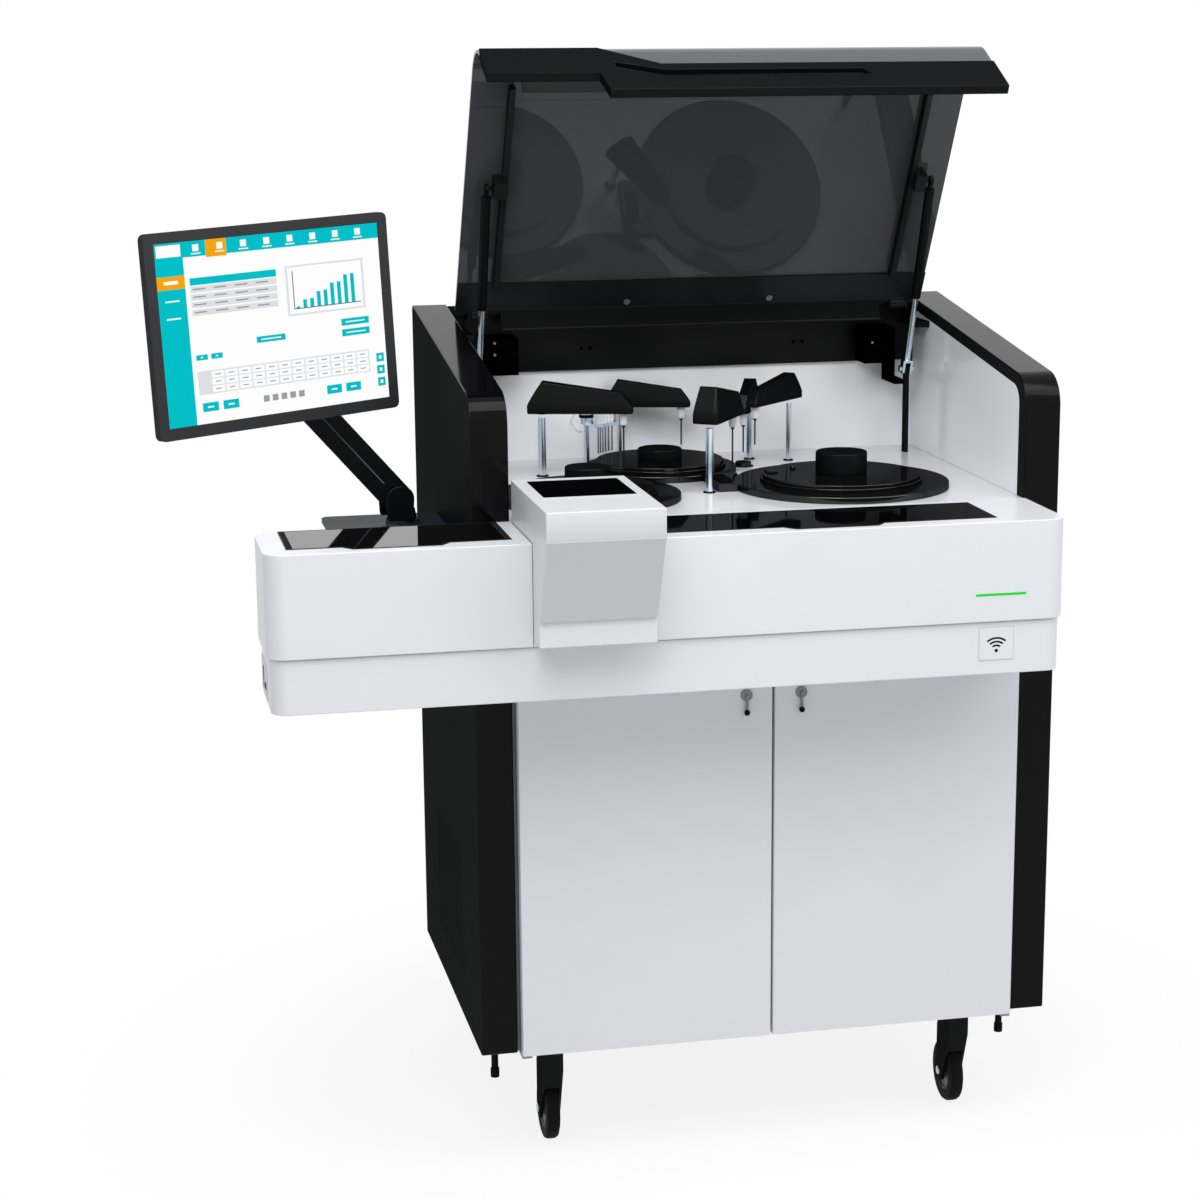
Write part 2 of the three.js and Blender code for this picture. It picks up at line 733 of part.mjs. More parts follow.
function cuvetteWasher() {
  const { x, y, rim } = carousels.reaction;
  const direction = new THREE.Vector2(Math.cos(washerAngle), Math.sin(washerAngle));
  const post = new THREE.Vector2(x, y).addScaledVector(direction, rim + washerFromRim);
  const plateBottom = deckTop + washerHeadBottom;
  const column = turned([
    [0, deckTop - columnDepth],
    [washerPostRadius, deckTop - columnDepth],
    [washerPostRadius, plateBottom],
    [washerHeadRadius, plateBottom],
    [washerHeadRadius, deckTop + washerHeadTop],
    [0, deckTop + washerHeadTop],
  ], roundSides, [post.x, post.y, 0]);
  const tubeRing = rim - washerTubeInset;
  const parts = [column];
  const tubeSpots = [];
  for (let i = 0; i < washerTubes; i += 1) {
    const angle = washerAngle + washerTubeSpread * (i / (washerTubes - 1) - 1 / 2);
    tubeSpots.push([x + tubeRing * Math.cos(angle), y + tubeRing * Math.sin(angle)]);
  }
  const [first, last] = [tubeSpots[0], tubeSpots[washerTubes - 1]];
  const plate = outlineOf([
    [post.x, post.y + washerPlateHalf],
    [post.x - washerPlateHalf, post.y],
    [last[0] - washerPlateHalf, last[1] - washerPlateHalf],
    [last[0] + washerPlateHalf, last[1] - washerPlateHalf],
    [first[0] + washerPlateHalf, first[1] - washerPlateHalf],
    [first[0] + washerPlateHalf, first[1] + washerPlateHalf],
  ]);
  parts.push(prism('z', plate, plateBottom, plateBottom + washerPlate));
  for (const [u, v] of tubeSpots) {
    parts.push(rod(washerTubeRadius, deckTop + rimHeight + coverRise + needleTipGap,
      plateBottom + washerPlate * 2, 8, [u, v, 0]));
  }
  return { solid: join(...parts), post };
}

const washer = cuvetteWasher();
add('cuvette_washer', washer.solid, chrome());

// The work deck: a white tray with an upstand at the back, wells for the carousels and bores for
// the columns.
const backWallTop = 160;
const deckX = innerX - seatGap;

function workDeck() {
  const slab = box([-deckX, deckX], [panelFront, backWallY], [deckTop - deckThickness, deckTop]);
  const upstand = box([-deckX, deckX], [backWallY - sheet, backWallY],
    [deckTop - deckThickness, deckTop + backWallTop]);
  const low = deckTop - deckThickness - overrun;
  const wells = Object.values(carousels).map((place) =>
    rod(wellRadius(place), low, deckTop + overrun, carouselSides, [place.x, place.y, 0]));
  const bores = Object.values(arms).map(({ x, y, column }) =>
    rod(column + seatGap, low, deckTop + overrun, smallSides, [x, y, 0]));
  const washerBore = rod(washerPostRadius + seatGap, low, deckTop + overrun, smallSides,
    [washer.post.x, washer.post.y, 0]);
  return cut(join(slab, upstand), ...wells, ...bores, washerBore);
}

add('work_deck', workDeck(), whiteEnamel());

// The front module: an upper cover with two bays, each under a smoked lid, and an apron below.
const moduleCornerRadius = 28;
const bayLidThickness = 5;
const bayLidProud = 0.6;
const bayRim = 7;
const bayGap = 0.5;
const apronInset = 4.5;
const apronLip = 8;
const tabDepth = 18;
const tabSlant = 14;
const housingWidth = 167;
const housingFromPanel = 2;
const rightBayFromHousing = 31.5;
const rightBayFromEnd = 98;
const housingFromLeft = wingLength + panelThickness + housingFromPanel;
const rightBayLeft = housingFromLeft + housingWidth + rightBayFromHousing;
const rightBayWidth = moduleRight - rightBayFromEnd - moduleLeft - rightBayLeft;
const bays = {
  left_bay_lid: { left: 34, width: 315, front: 37, depth: 138, tabAt: 77, tabWidth: 150 },
  right_bay_lid: { left: rightBayLeft, width: rightBayWidth, front: 32, depth: 129,
    tabAt: 171.5, tabWidth: 150 },
};

function baySpan({ left, width, front, depth }) {
  const x = moduleLeft + left;
  const y = moduleFront + front;
  return { x: [x, x + width], y: [y, y + depth] };
}

function bayOutline(bay, margin) {
  const { x, y } = baySpan(bay);
  const tab = x[0] + bay.tabAt;
  const tabEnd = tab + bay.tabWidth;
  return outlineOf([
    [x[0] - margin, y[0] - margin],
    [tab - margin, y[0] - margin],
    [tab + tabSlant - margin, y[0] - tabDepth - margin],
    [tabEnd - tabSlant + margin, y[0] - tabDepth - margin],
    [tabEnd + margin, y[0] - margin],
    [x[1] + margin, y[0] - margin],
    [x[1] + margin, y[1] + margin],
    [x[0] - margin, y[1] + margin],
  ]);
}

function modulePlan(inset) {
  const radius = moduleCornerRadius - inset;
  return outlineOf([
    [moduleLeft + inset, moduleFront + inset, radius],
    [moduleRight - inset, moduleFront + inset, radius],
    [moduleRight - inset, moduleBack - inset],
    [moduleLeft + inset, moduleBack - inset, radius],
  ]);
}

const lidSeat = deckTop + bayLidProud - bayLidThickness - seatGap;

function frontCover() {
  const body = prism('z', modulePlan(0), coverBottom, deckTop);
  const hollow = prism('z', modulePlan(shellWall), coverBottom - overrun,
    lidSeat - shellWall);
  const tools = [hollow];
  for (const bay of Object.values(bays)) {
    const { x, y } = baySpan(bay);
    tools.push(prism('z', bayOutline(bay, bayGap), lidSeat, deckTop + overrun));
    tools.push(box([x[0] + bayRim, x[1] - bayRim], [y[0] + bayRim, y[1] - bayRim],
      [lidSeat - shellWall - overrun, lidSeat + overrun]));
  }
  return cut(body, ...tools);
}

function frontApron() {
  const body = prism('z', modulePlan(apronInset), apronBottom, apronTop);
  const hollow = prism('z', modulePlan(apronInset + shellWall), apronBottom + shellWall,
    apronTop + apronLip + overrun);
  const lip = prism('z', modulePlan(shellWall + seatGap), apronTop - seatGap,
    apronTop + apronLip);
  return cut(join(body, lip), hollow);
}

function bayLid(bay) {
  return prism('z', bayOutline(bay, 0), lidSeat + seatGap, lidSeat + seatGap + bayLidThickness);
}

add('front_cover', frontCover(), whiteEnamel());
add('front_apron', frontApron(), whiteEnamel());
for (const [name, bay] of Object.entries(bays)) {
  add(name, bayLid(bay), glossBlack());
}

// The transfer housing hooks over the module: a box above, a slanting face and a strip in front.
const housingHeight = 61.5;
const housingLap = 6;
const housingLipDepth = 105;
const housingLipHeight = 41;
const housingSlantDepth = 48;
const housingSlantBottom = 101.5;
const housingStripStep = 4.5;
const housingStripBottom = 139.5;
const housingX = [moduleLeft + housingFromLeft, moduleLeft + housingFromLeft + housingWidth];
const housingTop = deckTop + housingHeight;
const housingBack = moduleBack - housingLap;
const housingFront = moduleFront - housingLipDepth;

function transferHousing() {
  const face = moduleFront - seatGap;
  const strip = face - (housingLipDepth - housingSlantDepth - housingStripStep) + sheet * 2;
  const outline = outlineOf([
    [housingBack, deckTop + seatGap],
    [housingBack, housingTop],
    [housingFront, housingTop],
    [housingFront, housingTop - housingLipHeight],
    [strip - housingStripStep, deckTop - housingSlantBottom],
    [strip, deckTop - housingSlantBottom],
    [strip, deckTop - housingStripBottom],
    [face, deckTop - housingStripBottom],
    [face, deckTop + seatGap],
  ]);
  const room = box([housingX[0] + shellWall, housingX[1] - shellWall],
    [moduleFront + shellWall, housingBack - shellWall],
    [deckTop - overrun, housingTop - shellWall]);
  return cut(prism('x', outline, ...housingX), room);
}

add('transfer_housing', transferHousing(), whiteEnamel());

// The lid, drawn closed about its hinge line and turned open with its group.
const lidProud = 6;
const lidThickness = 5;
const lidSideGap = 2.5;
const lidFrontSetback = 2.3;
const lidCornerRadius = 56;
const lidLipTilt = THREE.MathUtils.degToRad(3.3);
const lidGlassLip = 110;
const lidRearGap = 9;
const hingeFromBack = 83;
const hingeBelowTop = 7.8;
const hingeY = panelBack - hingeFromBack;
const lidHalf = innerX - lidSideGap;
const lidLineZ = (y) => cabinetTop - panelTopFall + lidProud + topSlope * (y - panelFront);
const hingeZ = lidLineZ(hingeY) - hingeBelowTop;
const lidFront = panelFront + lidFrontSetback;

// Lid points are given from the hinge line, so that the lid's group turns about it.
const fromHinge = (y, z, radius) => [y - hingeY, z - hingeZ, radius];
const lipY = (drop) => lidFront + drop * Math.tan(lidLipTilt);
const lidCornerZ = lidLineZ(lidFront);

function lidBand(depthLow, depthHigh, rearY, lipDrop) {
  const slant = Math.hypot(1, topSlope);
  const outer = depthLow;
  const inner = depthHigh;
  return outlineOf([
    fromHinge(rearY, lidLineZ(rearY) - outer * slant),
    fromHinge(rearY, lidLineZ(rearY) - inner * slant),
    fromHinge(lidFront + inner, lidLineZ(lidFront + inner) - inner * slant,
      lidCornerRadius - inner),
    fromHinge(lipY(lipDrop) + inner, lidCornerZ - lipDrop),
    fromHinge(lipY(lipDrop) + outer, lidCornerZ - lipDrop),
    fromHinge(lidFront + outer, lidLineZ(lidFront + outer) - outer * slant,
      lidCornerRadius - outer),
  ], fineSteps + 2);
}

const lidGroup = new THREE.Group();
lidGroup.position.set(0, hingeY, hingeZ);
lidGroup.rotation.x = -lidOpenAngle;
analyzer.add(lidGroup);

// The lid's black inner frame: a rear band with hinge knuckles and a cranked skirt, two ribs and
// the strut ears.
const bandLength = 62;
const bandThickness = 3;
const ribFromPanel = 68;
const ribInner = innerX - ribFromPanel;
const ribWidth = 9;
const ribHeight = 16;
const ribFrontGap = 78;
const skirtInsideRib = 8;
const skirtHalf = ribInner - skirtInsideRib;
const skirtDrop = 24;
const skirtRun = 14;
const knuckleRadius = 7;
const knuckleLength = 26;
const hingePinRadius = 3.5;
const hingeLugThickness = 6;
const hingeFromPanel = 22;
const strutFromPanel = 34;
const hingeOuter = innerX - hingeFromPanel;
const strutX = innerX - strutFromPanel;
const cylinderRadius = 10;
const strutEyeRadius = 8;
const strutEyeHalf = 4;
const strutTopFromHinge = 250;
const strutTopY = hingeY - strutTopFromHinge;
const strutTopBelow = 24;
const earHalfDepth = 15;
const earBelowPin = 8;
const earSideGap = 1.2;
const strutPinRadius = 3.5;
const strutTop = fromHinge(strutTopY, lidLineZ(strutTopY) - strutTopBelow);
const earOuter = strutX - cylinderRadius - earSideGap;

function lidFrame() {
  const under = (y, depth) => lidLineZ(y) - depth * Math.hypot(1, topSlope);
  const topDepth = lidThickness + seatGap;
  const bandFront = hingeY - bandLength;
  const bandBack = hingeY - lidRearGap;
  const slopeStrip = (front, back, thickness) => outlineOf([
    fromHinge(front, under(front, topDepth)),
    fromHinge(back, under(back, topDepth)),
    fromHinge(back, under(back, topDepth + thickness)),
    fromHinge(front, under(front, topDepth + thickness)),
  ]);
  const band = prism('x', slopeStrip(bandFront, bandBack, bandThickness), -lidHalf, lidHalf);
  const skirtTop = under(bandBack, topDepth + bandThickness / 3);
  const skirt = prism('x', outlineOf([
    fromHinge(bandBack - bandThickness, skirtTop),
    fromHinge(bandBack, skirtTop),
    fromHinge(hingeY + skirtRun, hingeZ - skirtDrop - bandThickness),
    fromHinge(hingeY + skirtRun - bandThickness, hingeZ - skirtDrop - bandThickness),
  ]), -skirtHalf, skirtHalf);
  const parts = [band, skirt];
  for (const side of [-1, 1]) {
    const span = (a, b) => (side < 0 ? [-b, -a] : [a, b]);
    const ribSpan = span(ribInner, ribInner + ribWidth);
    parts.push(prism('x', slopeStrip(lidFront + ribFrontGap, bandFront + overrun, ribHeight),
      ...ribSpan));
    parts.push(prism('x', slopeStrip(strutTopY - earHalfDepth, strutTopY + earHalfDepth,
      strutTopBelow + earBelowPin), ...span(ribInner + ribWidth / 2, earOuter)));
    const knuckleSpan = span(hingeOuter - hingeLugThickness - knuckleLength,
      hingeOuter - hingeLugThickness - seatGap);
    parts.push(rod(knuckleRadius, ...knuckleSpan, smallSides, [0, 0, 0], 'x'));
    parts.push(prism('x', slopeStrip(bandBack - overrun, hingeY, knuckleRadius - overrun),
      ...knuckleSpan));
  }
  const bores = [-1, 1].map((side) => {
    const ends = [hingeOuter - hingeLugThickness - knuckleLength - overrun, hingeOuter];
    const span = side < 0 ? [-ends[1], -ends[0]] : ends;
    return rod(hingePinRadius + seatGap, ...span, smallSides, [0, 0, 0], 'x');
  });
  return cut(join(...parts), ...bores);
}

add('lid_frame', lidFrame(), blackEnamel(), lidGroup);

// The front rail: a stepped black bar on the lip with a long recessed grip.
const railHeight = 80;
const railPlate = 4;
const railBody = 11;
const railLap = 8;
const railStep = 52;
const railBottomDrop = 174;
const notchWidth = 173.5;
const notchSlant = 6;
const jogFromNotch = 4;
const jogWidth = 87;
const gripFromEnd = 202.5;
const notchEnd = notchWidth - lidHalf;
const jogStart = notchEnd + jogFromNotch;
const jogEnd = jogStart + jogWidth;
const gripEnd = lidHalf - gripFromEnd;
const gripHeight = 18;
const gripDepth = 9;
const gripBelowTop = 20;
const gripSlant = 10;
const railTop = railHeight - railBottomDrop;

const railEdge = (drop, half) => [
  [half, railTop - drop],
  [jogEnd, railTop - drop],
  [jogStart, railTop + railStep - drop],
  [-half, railTop + railStep - drop],
];

function lidFrontRail() {
  const bottom = -railBottomDrop;
  const foot = [
    [-lidHalf, bottom + railStep],
    [notchEnd - notchSlant, bottom + railStep],
    [notchEnd, bottom],
    [lidHalf, bottom],
  ];
  const gripTop = railTop - gripBelowTop;
  const grip = outlineOf([
    [jogStart + gripHeight, gripTop + railStep / 2],
    [jogEnd, gripTop],
    [gripEnd - gripSlant, gripTop],
    [gripEnd, gripTop - gripHeight],
    [jogEnd, gripTop - gripHeight],
    [jogStart + gripHeight, gripTop - gripHeight + railStep / 2],
  ]);
  const plate = prism('y', outlineOf([...foot, ...railEdge(0, lidHalf)]), -railPlate, 0);
  const body = prism('y', outlineOf([...foot, ...railEdge(railLap, lidHalf)]),
    -railPlate / 2, railBody);
  return cut(join(plate, body), prism('y', grip, -railPlate - overrun, gripDepth - railPlate));
}

const railPlace = new THREE.Group();
railPlace.position.set(0, lidFront - hingeY - seatGap, lidCornerZ - hingeZ);
railPlace.rotation.x = lidLipTilt;
railPlace.updateMatrix();
lidGroup.add(railPlace);
add('lid_front_rail', lidFrontRail(), blackEnamel(), railPlace);

// The shell's lip ends where the body of the rail begins.
const lidBlank = prism('x', lidBand(0, lidThickness, hingeY - lidRearGap, lidGlassLip),
  -lidHalf, lidHalf);
const belowRailEdge = prism('y', outlineOf([
  [-lidHalf - overrun, -railBottomDrop - overrun],
  [lidHalf + overrun, -railBottomDrop - overrun],
  ...railEdge(railLap - seatGap * 2, lidHalf + overrun),
]), -railBody, railBody * 2).transform(railPlace.matrix.elements);
add('lid_shell', cut(lidBlank, belowRailEdge), smokedAcrylic(), lidGroup);

// The gas struts: a rod pinned to a post on the deck and a cylinder that slides on it.
const strutFootDrop = 104.3;
const postFromHinge = 33;
const postY = hingeY - postFromHinge;
const postHalf = 5.5;
const postEarHalf = 4;
const forkProng = 4;
const forkReach = 17;
const strutRodRadius = 5;
const strutRodLength = 145;
const cylinderLength = 205;
const cylinderBoreTop = 62;
const cylinderShoulder = 14;
const strutFootZ = hingeZ - strutFootDrop;
const turnedStrutTop = new THREE.Vector3(0, strutTop[0], strutTop[1])
  .applyAxisAngle(unitX, -lidOpenAngle)
  .add(new THREE.Vector3(0, hingeY, hingeZ));
const strutFoot = new THREE.Vector3(0, postY, strutFootZ);
const strutLine = turnedStrutTop.clone().sub(strutFoot);
const strutLength = strutLine.length();
const strutLean = Math.atan2(-strutLine.y, strutLine.z);

function strutRod() {
  const prongInner = postEarHalf + seatGap;
  const prongOuter = prongInner + forkProng;
  const prongSide = outlineOf([
    [-strutEyeRadius, -strutEyeRadius, strutEyeRadius * cornerShare],
    [strutEyeRadius, -strutEyeRadius, strutEyeRadius * cornerShare],
    [strutEyeRadius, forkReach],
    [-strutEyeRadius, forkReach],
  ]);
  const block = prism('x', prongSide, -prongOuter, prongOuter);
  const slot = box([-prongInner, prongInner], [-strutEyeRadius * 2, strutEyeRadius * 2],
    [-strutEyeRadius * 2, forkReach - forkProng]);
  const bore = rod(strutPinRadius + seatGap, -prongOuter - overrun, prongOuter + overrun,
    smallSides, [0, 0, 0], 'x');
  const shank = rod(strutRodRadius, forkReach - forkProng / 2, strutRodLength, smallSides,
    [0, 0, 0]);
  return join(cut(block, slot, bore), shank);
}

// The cylinder is drawn from the lid's pin downwards, with the pin that the lid's ear carries.
function strutCylinder(side) {
  const tube = turned([
    [0, -cylinderShoulder],
    [cylinderRadius, -cylinderShoulder],
    [cylinderRadius, -cylinderLength],
    [strutRodRadius + seatGap, -cylinderLength],
    [strutRodRadius + seatGap, -cylinderBoreTop],
    [0, -cylinderBoreTop],
  ], smallSides, [0, 0, 0]);
  const eye = rod(strutEyeRadius, -strutEyeHalf, strutEyeHalf, smallSides, [0, 0, 0], 'x');
  const neck = box([-strutEyeHalf, strutEyeHalf], [-strutEyeHalf, strutEyeHalf],
    [-cylinderShoulder - overrun, 0]);
  const pinEnd = strutX - earOuter - seatGap;
  const pinSpan = side < 0 ? [0, pinEnd] : [-pinEnd, 0];
  const pin = rod(strutPinRadius, ...pinSpan, smallSides, [0, 0, 0], 'x');
  return join(tube, eye, neck, pin);
}

for (const [name, side] of [['left', -1], ['right', 1]]) {
  const strut = new THREE.Group();
  strut.position.set(side * strutX, strutFoot.y, strutFoot.z);
  strut.rotation.x = strutLean;
  analyzer.add(strut);
  add(`${name}_strut_rod`, strutRod(), chrome(), strut);
  const upper = new THREE.Group();
  upper.position.z = strutLength;
  strut.add(upper);
  add(`${name}_strut_cylinder`, strutCylinder(side), glossBlack(), upper);
}

// The rear channel between the panels: top cover, plate, end boxes, hinge lugs and strut posts.
const channelTopFront = 11;
const channelFromWall = 11;
const channelAboveHood = 15.8;
const endBoxFromPanel = 49;
const endBoxWidth = 53;
const endBoxFromHinge = 19;
const channelPlateY = backWallY - channelFromWall;
const endBoxOuter = innerX - endBoxFromPanel;
const endBoxInner = endBoxOuter - endBoxWidth;
const endBoxFront = hingeY - endBoxFromHinge;
const endBoxTopDrop = 36;
const endBoxDrop = 96;
const lugHalfHeight = 8;
const lugGap = 5;
const webDrop = 26;
const ledgeFront = 18;
const ledgeDrop = 35;
const ledgeThickness = 10;

function rearChannel() {
  const coverFront = hingeY + channelTopFront;
  const topZ = (y) => lidLineZ(y) - lidProud;
  const { lift, crown } = arms.wash_arm;
  const plateBottom = deckTop + lift + crown + channelAboveHood;
  const roof = prism('x', outlineOf([
    [coverFront, topZ(coverFront) - sheet],
    [panelBack - sheet - seatGap, topZ(panelBack) - sheet * 2],
    [panelBack - sheet - seatGap, topZ(panelBack) - sheet],
    [coverFront, topZ(coverFront)],
  ]), -deckX, deckX);
  const plate = box([-deckX, deckX], [channelPlateY, channelPlateY + sheet],
    [plateBottom, topZ(channelPlateY) - sheet / 2]);
  const parts = [roof, plate];
  for (const side of [-1, 1]) {
    const span = (a, b) => (side < 0 ? [-b, -a] : [a, b]);
    parts.push(box(span(endBoxInner, endBoxOuter), [endBoxFront, channelPlateY + sheet],
      [hingeZ - endBoxDrop, hingeZ - endBoxTopDrop]));
    parts.push(box(span(hingeOuter - hingeLugThickness, hingeOuter),
      [hingeY - lugHalfHeight / 2, channelPlateY + sheet],
      [hingeZ - lugHalfHeight, hingeZ + lugHalfHeight / 2]));
    parts.push(rod(hingePinRadius, ...span(hingeOuter - hingeLugThickness - knuckleLength,
      hingeOuter - hingeLugThickness / 2), smallSides, [0, hingeY, hingeZ], 'x'));
    parts.push(box(span(strutX - postEarHalf, strutX + postEarHalf),
      [postY - postHalf, postY + postHalf], [deckTop + seatGap, strutFootZ]));
    parts.push(rod(strutEyeRadius, ...span(strutX - postEarHalf, strutX + postEarHalf),
      smallSides, [0, postY, strutFootZ], 'x'));
    parts.push(rod(strutPinRadius, ...span(strutX - postEarHalf - forkProng - lugGap / 2,
      strutX + postEarHalf + forkProng + lugGap / 2), smallSides, [0, postY, strutFootZ], 'x'));
    parts.push(box(span(endBoxOuter - lugGap, endBoxOuter), [endBoxFront, channelPlateY + sheet],
      [strutFootZ - webDrop, hingeZ - endBoxTopDrop]));
    parts.push(box(span(endBoxOuter - lugGap, strutX + postEarHalf),
      [postY, channelPlateY + sheet], [strutFootZ - webDrop, strutFootZ - webDrop + lugGap]));
    parts.push(box(span(hingeOuter - overrun, deckX), [postY - ledgeFront, channelPlateY + sheet],
      [hingeZ - ledgeDrop, hingeZ - ledgeDrop + ledgeThickness]));
    parts.push(box(span(hingeOuter - hingeLugThickness, hingeOuter),
      [channelPlateY - sheet, channelPlateY + sheet],
      [hingeZ - ledgeDrop, hingeZ + lugHalfHeight / 2]));
  }
  return join(...parts);
}

add('rear_channel', rearChannel(), blackEnamel());

// The monitor's shelf on the left side, with the fixed post of the arm.
const shelfTopBelowDeck = 28.5;
const shelfThickness = 8;
const shelfReach = 182;
const shelfFront = 42;
const shelfDepth = 312;
const shelfRadius = 12;
const armPostFromPanel = 65;
const armPostX = sideX + armPostFromPanel;
const armPostY = 285;
const armPostRadius = 13;
const armPostHeight = 27;
const armFootRadius = 26;
const armFootHeight = 8;
const shelfTop = deckTop - shelfTopBelowDeck;

function monitorShelf() {
  const outer = -sideX - shelfReach;
  const inner = -sideX - seatGap;
  const back = panelFront + shelfFront + shelfDepth;
  const plate = prism('z', outlineOf([
    [outer, panelFront + shelfFront, shelfRadius],
    [inner, panelFront + shelfFront],
    [inner, back],
    [outer, back, shelfRadius],
  ]), shelfTop - shelfThickness, shelfTop);
  const flange = box([inner - shelfThickness, inner], [panelFront + shelfFront, back],
    [shelfTop - shelfThickness * 5, shelfTop - shelfThickness / 2]);
  const post = turned([
    [0, shelfTop - shelfThickness / 2],
    [armFootRadius, shelfTop - shelfThickness / 2],
    [armFootRadius, shelfTop + armFootHeight],
    [armPostRadius, shelfTop + armFootHeight],
    [armPostRadius, shelfTop + armPostHeight],
    [0, shelfTop + armPostHeight],
  ], roundSides, [-armPostX, armPostY, 0]);
  return join(plate, flange, post);
}

add('monitor_shelf', monitorShelf(), frameSteel());

// The monitor and its arm. The screen's centre and turn are given; the arm spans to it.
const monitorWidth = 410.4;
const monitorHeight = 291.7;
const monitorDepth = 34;
const monitorCornerRadius = 8.5;
const monitorFromPanel = 258.5;
const monitorY = 153.5;
const monitorAboveDeck = 279.7;
const monitorX = -sideX - monitorFromPanel;
const monitorZ = deckTop + monitorAboveDeck;
const monitorYaw = THREE.MathUtils.degToRad(27.4);
const monitorTilt = THREE.MathUtils.degToRad(-2.05);
const monitorRoll = THREE.MathUtils.degToRad(-1.8);
const screenWidth = 377;
const screenHeight = 259.5;
const screenThickness = 3;
const screenDrop = 1.3;
const screenSink = 1.2;
const tiltPinBack = 52;
const panPostBack = 74;
const linkPinBack = 125;
const armPinRadius = 6;
const linkHalf = 20;
const linkRadius = 23;
const earPlate = 5;
const turretRadius = 22;
const turretHeight = 18;
const elbowRise = 52;
const backBlockHalf = 50;
const backBlockDepth = 7;
const backEarHalf = 20;
const backEarWidth = 7;
const backEarRadius = 9;
const panRadius = 14;
const panPinRadius = 7;
const panHalf = 16;

const monitorPlace = new THREE.Group();
monitorPlace.position.set(monitorX, monitorY, monitorZ);
monitorPlace.rotation.set(monitorTilt, monitorRoll, monitorYaw, 'ZXY');
analyzer.add(monitorPlace);

// Local frame of the monitor: x across the screen, y to its back, z up, from the screen's centre.
function monitorHousing() {
  const halfW = monitorWidth / 2;
  const halfH = monitorHeight / 2;
  const face = outlineOf([
    [-halfW, -halfH, monitorCornerRadius],
    [halfW, -halfH, monitorCornerRadius],
    [halfW, halfH, monitorCornerRadius],
    [-halfW, halfH, monitorCornerRadius],
  ], 3);
  const shell = prism('y', face, 0, monitorDepth);
  const pocket = box([-screenWidth / 2 - seatGap, screenWidth / 2 + seatGap],
    [-overrun, screenSink + screenThickness + seatGap],
    [-screenHeight / 2 + screenDrop - seatGap, screenHeight / 2 + screenDrop + seatGap]);
  const block = box([-backBlockHalf, backBlockHalf],
    [monitorDepth - overrun, monitorDepth + backBlockDepth], [-backBlockHalf, backBlockHalf]);
  const ears = [-1, 1].map((side) => {
    const near = side * (backEarHalf + seatGap);
    const far = side * (backEarHalf + backEarWidth);
    const ear = prism('x', outlineOf([
      [monitorDepth + backBlockDepth - overrun, -backEarRadius],
      [tiltPinBack + backEarRadius, -backEarRadius, backEarRadius * cornerShare],
      [tiltPinBack + backEarRadius, backEarRadius, backEarRadius * cornerShare],
      [monitorDepth + backBlockDepth - overrun, backEarRadius],
    ]), Math.min(near, far), Math.max(near, far));
    return cut(ear, rod(armPinRadius + seatGap, Math.min(near, far) - overrun,
      Math.max(near, far) + overrun, smallSides, [0, tiltPinBack, 0], 'x'));
  });
  return join(cut(shell, pocket), block, ...ears);
}

add('monitor_housing', monitorHousing(), blackEnamel(), monitorPlace);
const screen = box([-screenWidth / 2, screenWidth / 2],
  [screenSink, screenSink + screenThickness],
  [-screenHeight / 2 + screenDrop, screenHeight / 2 + screenDrop]);
add('monitor_screen', screen, finish('#e9f2f3', 0.25, 0.0), monitorPlace);

// Pan yoke: turns about an upright pin behind the monitor and carries the tilt pin.
const behind = (distance) => {
  const point = new THREE.Vector3(0, distance, 0).applyEuler(monitorPlace.rotation);
  return point.add(monitorPlace.position);
};
const panSpot = behind(panPostBack);
const linkEnd = behind(linkPinBack);

const panPlace = new THREE.Group();
panPlace.position.copy(panSpot);
panPlace.rotation.z = monitorYaw;
panPlace.updateMatrix();
monitorPlace.updateMatrix();
analyzer.add(panPlace);
const yokeFromMonitor = panPlace.matrix.clone().invert().multiply(monitorPlace.matrix);

function panYoke() {
  const reach = panPostBack - tiltPinBack;
  const sleeve = turned([
    [panPinRadius + seatGap, -panHalf],
    [panRadius, -panHalf],
    [panRadius, panHalf],
    [panPinRadius + seatGap, panHalf],
  ], smallSides, [0, 0, 0]);
  const half = backEarHalf;
  const lift = behind(tiltPinBack).z - panSpot.z;
  const arm = box([-half / 2, half / 2],
    [-reach, -panPinRadius - seatGap * 2], [-backEarRadius + lift, backEarRadius + lift]);
  const pin = rod(armPinRadius, -half - backEarWidth, half + backEarWidth, smallSides,
    [0, tiltPinBack, 0], 'x').transform(yokeFromMonitor.elements);
  const barrel = rod(backEarRadius, -half, half, smallSides, [0, tiltPinBack, 0], 'x')
    .transform(yokeFromMonitor.elements);
  return join(sleeve, arm, pin, barrel);
}

add('pan_yoke', panYoke(), blackEnamel(), panPlace);

// Level head: two ears on the link's upper pin and the upright pin of the pan yoke.
const elbow = new THREE.Vector3(-armPostX, armPostY, shelfTop + elbowRise);
const linkLine = linkEnd.clone().sub(elbow);
const linkRun = Math.hypot(linkLine.x, linkLine.y);
const linkSpan = linkLine.length();
const linkHeading = Math.atan2(linkLine.y, linkLine.x);
const linkRise = Math.atan2(linkLine.z, linkRun);

